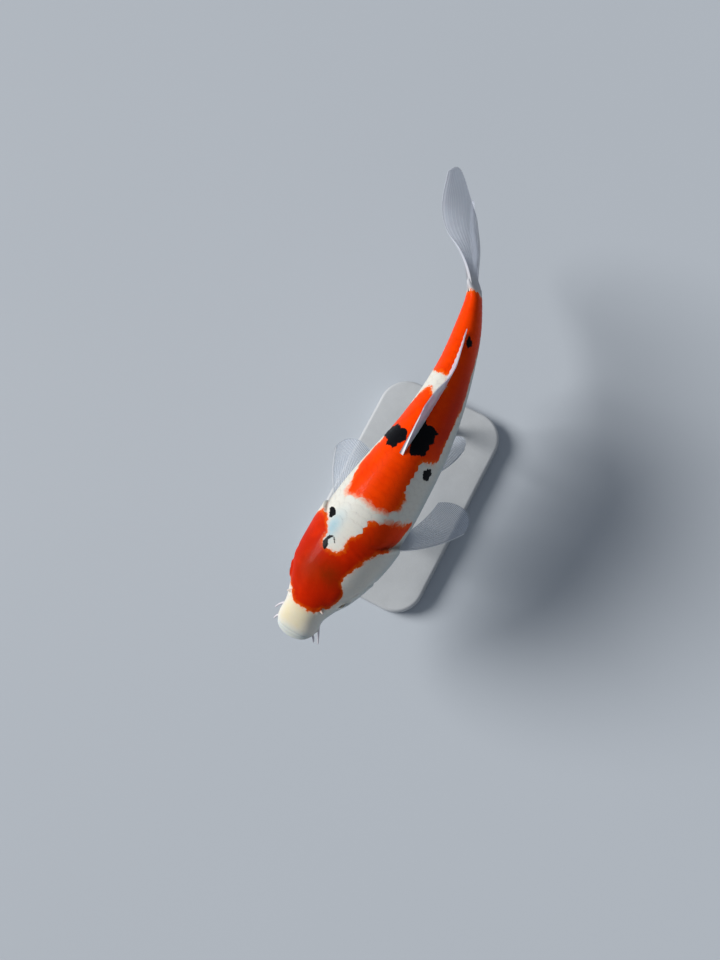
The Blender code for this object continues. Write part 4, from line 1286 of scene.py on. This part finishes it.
def white_skin(n, i, red_at, cloud, mottle):
    """White skin with its cool places and painted blue-grey shade on the lower flanks, the tail's
    root, the cream snout and pinkish borders.
    """
    white = n.mix(n.maths("MULTIPLY", cloud, 0.40), i["White"], WARM_WHITE)
    # cool tint of the nape and the lips, and painted shade of the lower flanks
    white = n.mix(i["Cool Tint And Flank Shade"], white, i["Frost Colour"])
    white = n.mix(i["Tail"], white, TAIL_ROOT)
    white = n.mix(n.maths("MULTIPLY", i["Tail Ray"], 0.6), white, TAIL_ROOT_RAY)
    white = n.mix(n.step(mottle, 0.48, 0.75, 0.0, 0.22), white, GREY_WHITE)
    cream = n.maths("MULTIPLY", i["Cream"], n.step(cloud, 0.2, 0.8, 1.0, 0.6))
    white = n.mix(cream, white, i["Cream Colour"])
    return n.mix(n.step(red_at, -2.6, -0.2, 0.0, 0.24), white, PINK_BORDER)


def red_skin(n, i, red_at, cloud, mottle):
    """Red skin, deeper on the head and, as painted shade, on the rear of the left flank; thinner at
    its edges and brown on the crown.
    """
    # painted shade: the head-red mask also deepens the red on the rear of the left flank
    red = n.mix(i["Head Red And Flank Shade"], i["Red"], i["Deep Red"])
    red = n.mix(n.step(cloud, 0.42, 0.70, 0.0, 0.40), red, DENSE_RED)
    thin = n.maths("ADD", n.step(red_at, 3.4, 0.2, 0.0, 0.40),
                   n.step(red_at, 0.9, -0.1, 0.0, 0.35))
    red = n.mix(thin, red, THIN_RED)
    crown = n.maths("MULTIPLY", i["Crown"], n.step(cloud, 0.15, 0.65, 0.50, 0.85))
    red = n.mix(crown, red, CROWN_BROWN)
    red = n.mix(n.step(mottle, 0.50, 0.78, 0.0, 0.20), red, FINE_RED)
    return n.mix(n.maths("MULTIPLY", i["Own"], 0.05), red, BRIGHT_RED)


def pigment_group(colours):
    """Koi markings: white ground, red and ink patches, cream snout, dark crown and cool tint, with
    painted shade on the flanks and in the hollows and a painted sheen on the ink.
    """
    inputs = [(label, "NodeSocketFloat", 0.0) for label in STORED_VALUES]
    for label, colour in (("White", colours.white), ("Cream Colour", colours.cream),
                          ("Frost Colour", colours.cool_tint_and_flank_shade), ("Red", colours.red),
                          ("Deep Red", colours.deep_red), ("Ink", colours.ink)):
        inputs.append((label, "NodeSocketColor", rgba(colour)))
    group, n, start, end = new_group("Koi Pigment", inputs, [("Color", "NodeSocketColor")])
    i = start.outputs
    red_at, red_mask, ink_mask = patch_masks(n, i)
    cloud = n.noise(95.0, 3.0, 0.55)
    mottle = n.noise(520.0, 3.0, 0.6)
    white = white_skin(n, i, red_at, cloud, mottle)
    colour = n.mix(red_mask, white, red_skin(n, i, red_at, cloud, mottle))
    colour = n.mix(n.step(i["Rim"], 0.80, 1.0, 0.0, 0.07), colour, SCALE_RIM, "MULTIPLY")
    # painted sheen on the ink, in patches
    ink = n.mix(n.maths("MULTIPLY", n.noise(700.0), 0.35), i["Ink"], PAINTED_INK_SHEEN)
    colour = n.mix(ink_mask, colour, ink)
    # painted shade: darken the hollows of the skin
    dark = n.mix(i["Hollow Shade"], NO_SHADE, HOLLOW_SHADE)
    colour = n.mix(1.0, colour, dark, "MULTIPLY")
    group.links.new(colour, end.inputs["Color"])


def wet_surface_group():
    """Fine unevenness of a wet surface: a height and a roughness mask."""
    inputs = [("Pore Scale", "NodeSocketFloat", 1400.0), ("Pore Depth", "NodeSocketFloat", 0.5),
              ("Low", "NodeSocketFloat", 0.30), ("High", "NodeSocketFloat", 0.48)]
    outputs = (("Height", "NodeSocketFloat"), ("Roughness", "NodeSocketFloat"))
    group, n, start, end = new_group("Wet Surface", inputs, outputs)
    i = start.outputs
    where = n.add("ShaderNodeTexCoord").outputs["Object"]
    inputs = {"Vector": where, "Scale": i["Pore Scale"]}
    pores = n.add("ShaderNodeTexVoronoi", inputs).outputs["Distance"]
    pores = n.maths("MULTIPLY", pores, i["Pore Depth"])
    soft = n.maths("MULTIPLY", n.noise(260.0, 4.0, 0.55), 0.6)
    group.links.new(n.maths("ADD", pores, soft), end.inputs["Height"])
    uneven = n.noise(120.0, 3.0, 0.6)
    node = n.add("ShaderNodeMapRange", {"Value": uneven, "From Min": 0.3, "From Max": 0.7,
                                        "To Min": i["Low"], "To Max": i["High"]})
    group.links.new(node.outputs["Result"], end.inputs["Roughness"])


def new_material(name, **sockets):
    """A material with one Principled shader whose plain sockets are set."""
    material = bpy.data.materials.new(name)
    material.use_nodes = True
    shader = material.node_tree.nodes["Principled BSDF"]
    for key, value in sockets.items():
        shader.inputs[key.replace("_", " ")].default_value = value
    return material, Nodes(material.node_tree), shader


def place_group(nodes, group, inputs):
    """Put a node group in a material."""
    return nodes.add("ShaderNodeGroup", inputs, node_tree=group)


def add_bump(nodes, shader, height, strength, distance):
    """Bump from a height into a shader's normal."""
    node = nodes.add("ShaderNodeBump", {"Height": height, "Strength": strength,
                                        "Distance": distance})
    nodes.tree.links.new(node.outputs["Normal"], shader.inputs["Normal"])


def shared_groups():
    """The groups that several materials use, built once."""
    if "Koi Pigment" not in bpy.data.node_groups:
        pigment_group(bpy.context.scene.koi_colours)
        wet_surface_group()
    return bpy.data.node_groups["Koi Pigment"], bpy.data.node_groups["Wet Surface"]


def coat_material(name, low, high, pore_scale, bump_distance):
    """Skin or scales: the same markings with their own wetness."""
    pigment, wet = shared_groups()
    material, n, shader = new_material(name, Coat_Weight=0.03, Coat_Roughness=0.09,
                                       Subsurface_Weight=0.06, Subsurface_Scale=0.0020)
    shader.inputs["Subsurface Radius"].default_value = (1.0, 0.45, 0.25)
    shader.inputs["Specular IOR Level"].default_value = 0.03
    stored = {label: n.value(key) for label, key in STORED_VALUES.items()}
    marks = place_group(n, pigment, stored)
    surface = place_group(n, wet, {"Low": low, "High": high, "Pore Scale": pore_scale})
    n.tree.links.new(marks.outputs["Color"], shader.inputs["Base Color"])
    n.tree.links.new(surface.outputs["Roughness"], shader.inputs["Roughness"])
    add_bump(n, shader, surface.outputs["Height"], 0.16, bump_distance)
    return material


def fin_material(name, colours, settings, tint, streaks, opacity):
    """Clear membrane between whitish rays; streaks is how strongly the rays stand out."""
    wet = shared_groups()[1]
    material, n, shader = new_material(name, Coat_Weight=0.08, Coat_Roughness=0.15)
    shader.inputs["Specular IOR Level"].default_value = 0.25
    ray, span, spine = n.value("ray"), n.value("span"), n.value("spine")
    cloud = n.noise(160.0, 3.0, 0.6)
    streak = n.maths("MULTIPLY", n.step(ray, 0.10, 0.95), streaks)
    colour = n.mix(streak, rgba(colours.fin), rgba(colours.ray))
    colour = n.mix(n.step(cloud, 0.35, 0.75, 0.15, 0.55), colour, tint)
    colour = n.mix(n.step(span, 0.34, 0.04), colour, (0.50, 0.50, 0.53, 1.0))
    colour = n.mix(n.maths("MULTIPLY", spine, n.step(span, 0.05, 0.35, 0.25, 0.85)), colour,
                   rgba(colours.ray))
    n.tree.links.new(colour, shader.inputs["Base Color"])
    solid = n.maths("MAXIMUM", n.maths("MULTIPLY", streak, 0.70), n.step(span, 0.42, 0.06))
    solid = n.maths("MAXIMUM", solid, n.maths("MULTIPLY", spine, 0.85))
    clear = settings.membrane * opacity
    alpha = n.step(solid, 0.0, 1.0, clear, 0.98)
    alpha = n.maths("MULTIPLY", alpha, n.step(cloud, 0.2, 0.8, 0.90, 1.0))
    n.tree.links.new(alpha, shader.inputs["Alpha"])
    surface = place_group(n, wet, {"Low": 0.34, "High": 0.46, "Pore Scale": 900.0})
    n.tree.links.new(surface.outputs["Roughness"], shader.inputs["Roughness"])
    add_bump(n, shader, surface.outputs["Height"], 0.18, 0.0003)
    return material


def eye_material():
    """Black pupil, thin gold ring, brown and silver iris, pale skin at the back."""
    material, n, shader = new_material("koi_eye", Roughness=0.08, Coat_Weight=1.0,
                                       Coat_Roughness=0.02)
    gaze, lid = n.value("gaze"), n.value("lid")
    streaks = n.noise(900.0, 3.0, 0.6)
    iris = n.mix(streaks, (0.10, 0.055, 0.025, 1.0), (0.42, 0.33, 0.19, 1.0))
    iris = n.mix(n.step(lid, 0.50, 0.85), iris, (0.025, 0.018, 0.015, 1.0))
    ring = n.mix(n.step(gaze, 0.57, 0.61), (0.62, 0.42, 0.12, 1.0), iris)
    colour = n.mix(n.step(gaze, 0.51, 0.54), (0.003, 0.003, 0.004, 1.0), ring)
    colour = n.mix(n.step(gaze, 0.76, 0.90), colour, (0.035, 0.026, 0.024, 1.0))
    n.tree.links.new(colour, shader.inputs["Base Color"])
    metal = n.maths("MULTIPLY", n.step(gaze, 0.52, 0.56), n.step(gaze, 1.0, 0.85, 0.0, 0.45))
    n.tree.links.new(metal, shader.inputs["Metallic"])
    return material


def feeler_material():
    """Whitish violet flesh, creamier at the root."""
    wet = shared_groups()[1]
    material, n, shader = new_material("koi_feeler", Coat_Weight=0.3, Coat_Roughness=0.15)
    span = n.value("span")
    colour = n.mix(n.noise(500.0), (0.58, 0.54, 0.60, 1.0), (0.72, 0.69, 0.72, 1.0))
    colour = n.mix(n.step(span, 0.4, 0.0), colour, (0.72, 0.66, 0.56, 1.0))
    n.tree.links.new(colour, shader.inputs["Base Color"])
    surface = place_group(n, wet, {"Low": 0.32, "High": 0.46, "Pore Scale": 1600.0})
    n.tree.links.new(surface.outputs["Roughness"], shader.inputs["Roughness"])
    add_bump(n, shader, surface.outputs["Height"], 0.3, 0.0003)
    return material


def lacquer_material(colour):
    """Satin lacquer with a faint orange-peel, soft clouds and fine light specks."""
    material, n, shader = new_material("stand_lacquer", Coat_Weight=0.15, Coat_Roughness=0.3)
    speck = n.noise(1800.0, 2.0, 0.6)
    cloud = n.noise(22.0, 4.0, 0.6)
    dark = tuple(0.88 * c for c in colour)
    paint = n.mix(n.step(cloud, 0.35, 0.65), rgba(colour), rgba(dark))
    worn = n.maths("MULTIPLY", n.step(speck, 0.60, 0.72), 0.25)
    paint = n.mix(worn, paint, (0.75, 0.76, 0.77, 1.0))
    n.tree.links.new(paint, shader.inputs["Base Color"])
    n.tree.links.new(n.step(cloud, 0.3, 0.7, 0.42, 0.56), shader.inputs["Roughness"])
    add_bump(n, shader, n.noise(650.0, 3.0, 0.5), 0.12, 0.0004)
    return material


def steel_material(colour):
    """Steel brushed round the rod."""
    material, n, shader = new_material("stand_steel", Metallic=1.0)
    where = n.add("ShaderNodeTexCoord").outputs["Object"]
    stretched = n.add("ShaderNodeMapping", {"Vector": where, "Scale": (1.0, 1.0, 26.0)})
    grain = n.noise(160.0, 5.0, 0.65, stretched.outputs["Vector"])
    tone = n.mix(grain, rgba(tuple(0.78 * c for c in colour)), rgba(colour))
    n.tree.links.new(tone, shader.inputs["Base Color"])
    n.tree.links.new(n.step(grain, 0.3, 0.7, 0.22, 0.40), shader.inputs["Roughness"])
    add_bump(n, shader, grain, 0.10, 0.0003)
    return material


def floor_material(colour):
    """A matt studio floor with barely any tone in it."""
    material, n, shader = new_material("studio_floor")
    cloud = n.noise(3.0, 3.0, 0.5)
    light = tuple(min(1.0, 1.04 * c) for c in colour)
    n.tree.links.new(n.mix(cloud, rgba(colour), rgba(light)), shader.inputs["Base Color"])
    n.tree.links.new(n.step(cloud, 0.3, 0.7, 0.70, 0.80), shader.inputs["Roughness"])
    return material


# ---------------------------------------------------------------------------
# Operators
# ---------------------------------------------------------------------------
FLESH_NODES = ("head", "lower_jaw", "gill_cover_left", "gill_cover_right", "trunk", "tail_stalk")
TAIL_NODES = ("caudal_fin_upper", "caudal_fin_lower")
SIDES = {"left": 1.0, "right": -1.0}
ANAL_RAYS = 8
PELVIC_RAYS = 9
# tint, how strongly the rays stand out, share of the membrane's opacity
FIN_FINISHES = {
    "koi_fin": ((0.60, 0.66, 0.78, 1.0), 0.75, 0.80),
    "koi_back_fin": ((0.52, 0.41, 0.57, 1.0), 0.35, 1.75),
    "koi_tail_fin": ((0.60, 0.60, 0.70, 1.0), 0.30, 1.00),
}
# root, length, yaw of each side, fan, pitch, width of the root
PAIRED_FINS = {
    "pectoral": (PECTORAL_ROOT, PECTORAL_LENGTH, PECTORAL_YAW, PECTORAL_FAN, PECTORAL_PITCH,
                 0.030),
    "pelvic": (PELVIC_ROOT, PELVIC_LENGTH, PELVIC_YAW, PELVIC_FAN, PELVIC_PITCH, 0.024),
}


def settle_fin(node, parts, finish, nodes=None):
    """Join a fin's parts into a piece and put it in its place."""
    settle(join_parts("koi_" + node, parts), nodes or (node,), finish)


def paired_fin(kind, name, rays, settings):
    """Parts of one breast or belly fin."""
    root, length, yaw, fan, pitch, base = PAIRED_FINS[kind]
    surface = paired_surface(root, length, yaw[name], fan, pitch, base, SIDES[name])
    return [make_fin(surface, rays, settings, spine=0.05)]


class KOI_OT_skin(bpy.types.Operator):
    """Make the skin over the head, trunk and tail stalk"""
    bl_idname = "koi.make_skin"
    bl_label = "Make Skin"

    def execute(self, context):
        skin = make_skin()
        settle(skin, FLESH_NODES, coat_material("koi_skin", 0.36, 0.50, 1500.0, 0.00035))
        return {"FINISHED"}


class KOI_OT_scales(bpy.types.Operator):
    """Lay the scales over the skin behind the head"""
    bl_idname = "koi.make_scales"
    bl_label = "Make Scales"

    def execute(self, context):
        settings = context.scene.koi_scales
        finish = coat_material("koi_scale", 0.34, 0.48, 2200.0, 0.00020)
        places = scale_places()
        groups = {"upper": [place for place in places if place[2] >= 0],
                  "lower": [place for place in places if place[2] < 0]}
        number = settings.seed
        for side_name, side in SIDES.items():
            for group_name, group in groups.items():
                number += 1
                name = "koi_scales_" + group_name + "_" + side_name
                coat = make_scales(name, group, side, number, settings.relief)
                settle(coat, ("trunk",), finish)
        return {"FINISHED"}


class KOI_OT_fins(bpy.types.Operator):
    """Make all the fins with their rays"""
    bl_idname = "koi.make_fins"
    bl_label = "Make Fins"

    def execute(self, context):
        settings = context.scene.koi_fins
        colours = context.scene.koi_colours
        clear, back, tail = (fin_material(name, colours, settings, *finish)
                             for name, finish in FIN_FINISHES.items())
        dorsal = make_fin(dorsal_surface, settings.dorsal_rays, settings, spine=0.03)
        settle_fin("dorsal_fin", [dorsal], back)
        anal = make_fin(anal_surface, ANAL_RAYS, settings, spine=0.06)
        settle_fin("anal_fin", [anal], clear)
        lobes = [make_fin(caudal_surface(side, LOBE_LEAN[lobe]), settings.tail_rays, settings,
                          spine=0.05, along=56, lobe=True)
                 for lobe, side in (("upper", 1.0), ("lower", -1.0))]
        settle_fin("tail_fin", lobes, tail, TAIL_NODES)
        for name in SIDES:
            pectoral = paired_fin("pectoral", name, settings.pectoral_rays, settings)
            settle_fin("pectoral_fin_" + name, pectoral, clear)
            pelvic = paired_fin("pelvic", name, PELVIC_RAYS, settings)
            settle_fin("pelvic_fin_" + name, pelvic, clear)
        return {"FINISHED"}


class KOI_OT_eyes(bpy.types.Operator):
    """Make both eyes"""
    bl_idname = "koi.make_eyes"
    bl_label = "Make Eyes"

    def execute(self, context):
        finish = eye_material()
        for name, side in SIDES.items():
            settle(make_eye(name, side), ("eye_" + name,), finish)
        return {"FINISHED"}


class KOI_OT_feelers(bpy.types.Operator):
    """Make the four feelers at the mouth"""
    bl_idname = "koi.make_feelers"
    bl_label = "Make Feelers"

    def execute(self, context):
        finish = feeler_material()
        for name, side in SIDES.items():
            for size, route in (("long", LONG_BARBEL[name]), ("short", SHORT_BARBEL)):
                node = "barbel_" + size + "_" + name
                piece = join_parts("koi_" + node, [feeler(route, side)])
                settle(piece, (node,), finish)
        return {"FINISHED"}


class KOI_OT_stand(bpy.types.Operator):
    """Make the display stand"""
    bl_idname = "koi.make_stand"
    bl_label = "Make Stand"

    def execute(self, context):
        settings = context.scene.koi_stand
        settle(make_base(), ("stand_base",), lacquer_material(settings.base))
        steel = steel_material(settings.steel)
        for name, station in ROD_STATIONS.items():
            settle(make_rod(name, station), ("stand_rod_" + name,), steel)
        return {"FINISHED"}


FISH_MIDDLE = (0.0, 0.03, 0.09)
FLOOR_RADIUS = 3.0
KEY_PLACE = (-1.10, -0.22, 0.86)
KEY_ANGLE = 0.50
KEY_COLOUR = (1.0, 0.98, 0.95)
FILL_PLACE = (0.95, -0.20, 0.80)
FILL_SIZE = 1.0
FILL_COLOUR = (0.90, 0.95, 1.0)
SKY_COLOUR = (0.80, 0.88, 1.0)


def add_light(name, kind, place, size, power, colour):
    """A soft light aimed at the fish: a square panel, or a wide sun whose size is an angle."""
    data = bpy.data.lights.new(name, kind)
    data.energy = power
    data.color = colour
    if kind == "SUN":
        data.angle = size
    else:
        data.size = size
    obj = bpy.data.objects.new(name, data)
    obj.location = place
    bpy.context.scene.collection.objects.link(obj)
    direction = Vector(FISH_MIDDLE) - obj.location
    obj.rotation_euler = direction.to_track_quat("-Z", "Y").to_euler()


def make_camera():
    """The camera at its fixed place and angle."""
    data = bpy.data.cameras.new("camera")
    data.lens = CAMERA_LENS
    data.clip_start = 0.01
    camera = bpy.data.objects.new("camera", data)
    axes = Matrix((CAMERA_RIGHT, CAMERA_UP, CAMERA_BACK)).transposed()
    camera.matrix_world = Matrix.Translation(CAMERA_PLACE) @ axes.to_4x4()
    bpy.context.scene.collection.objects.link(camera)
    return camera


class KOI_OT_stage(bpy.types.Operator):
    """Make the floor, the lights and the camera"""
    bl_idname = "koi.make_stage"
    bl_label = "Make Stage"

    def execute(self, context):
        settings = context.scene.koi_stage
        points, faces = turned([(FLOOR_RADIUS, 0.0), (0.0, 0.0)], sides=96)
        floor = make_piece("studio_floor", points, faces)
        floor.data.materials.append(floor_material(settings.floor))
        add_light("key", "SUN", KEY_PLACE, KEY_ANGLE, settings.key_strength, KEY_COLOUR)
        add_light("fill", "AREA", FILL_PLACE, FILL_SIZE, settings.fill_power, FILL_COLOUR)
        world = context.scene.world or bpy.data.worlds.new("World")
        context.scene.world = world
        world.use_nodes = True
        sky = world.node_tree.nodes["Background"]
        sky.inputs["Color"].default_value = rgba(SKY_COLOUR)
        sky.inputs["Strength"].default_value = settings.sky
        context.scene.view_settings.view_transform = "Standard"
        context.scene.camera = make_camera()
        return {"FINISHED"}


class KOI_PT_panel(bpy.types.Panel):
    """Settings and makers of the koi carp"""
    bl_idname = "KOI_PT_panel"
    bl_label = "Koi Carp"
    bl_space_type = "VIEW_3D"
    bl_region_type = "UI"
    bl_category = "Koi Carp"

    def draw(self, context):
        for group in SETTINGS:
            settings = getattr(context.scene, group)
            box = self.layout.box()
            for key in settings.__annotations__:
                box.prop(settings, key)
        for operator in MAKERS:
            self.layout.operator(operator.bl_idname)


SETTINGS = {"koi_colours": KoiColours, "koi_scales": KoiScales, "koi_fins": KoiFins,
            "koi_stand": KoiStand, "koi_stage": KoiStage}
MAKERS = (KOI_OT_skin, KOI_OT_scales, KOI_OT_fins, KOI_OT_eyes, KOI_OT_feelers, KOI_OT_stand,
          KOI_OT_stage)


def register():
    """Register the settings, the operators and the panel."""
    for cls in (*SETTINGS.values(), *MAKERS, KOI_PT_panel):
        bpy.utils.register_class(cls)
    for key, cls in SETTINGS.items():
        setattr(bpy.types.Scene, key, PointerProperty(type=cls))


def unregister():
    """Undo register."""
    for key in SETTINGS:
        delattr(bpy.types.Scene, key)
    for cls in reversed((*SETTINGS.values(), *MAKERS, KOI_PT_panel)):
        bpy.utils.unregister_class(cls)


def main():
    """Make every piece."""
    register()
    bpy.ops.koi.make_skin()
    bpy.ops.koi.make_scales()
    bpy.ops.koi.make_fins()
    bpy.ops.koi.make_eyes()
    bpy.ops.koi.make_feelers()
    bpy.ops.koi.make_stand()
    bpy.ops.koi.make_stage()
    bpy.context.view_layer.update()


if __name__ == "__main__":
    main()
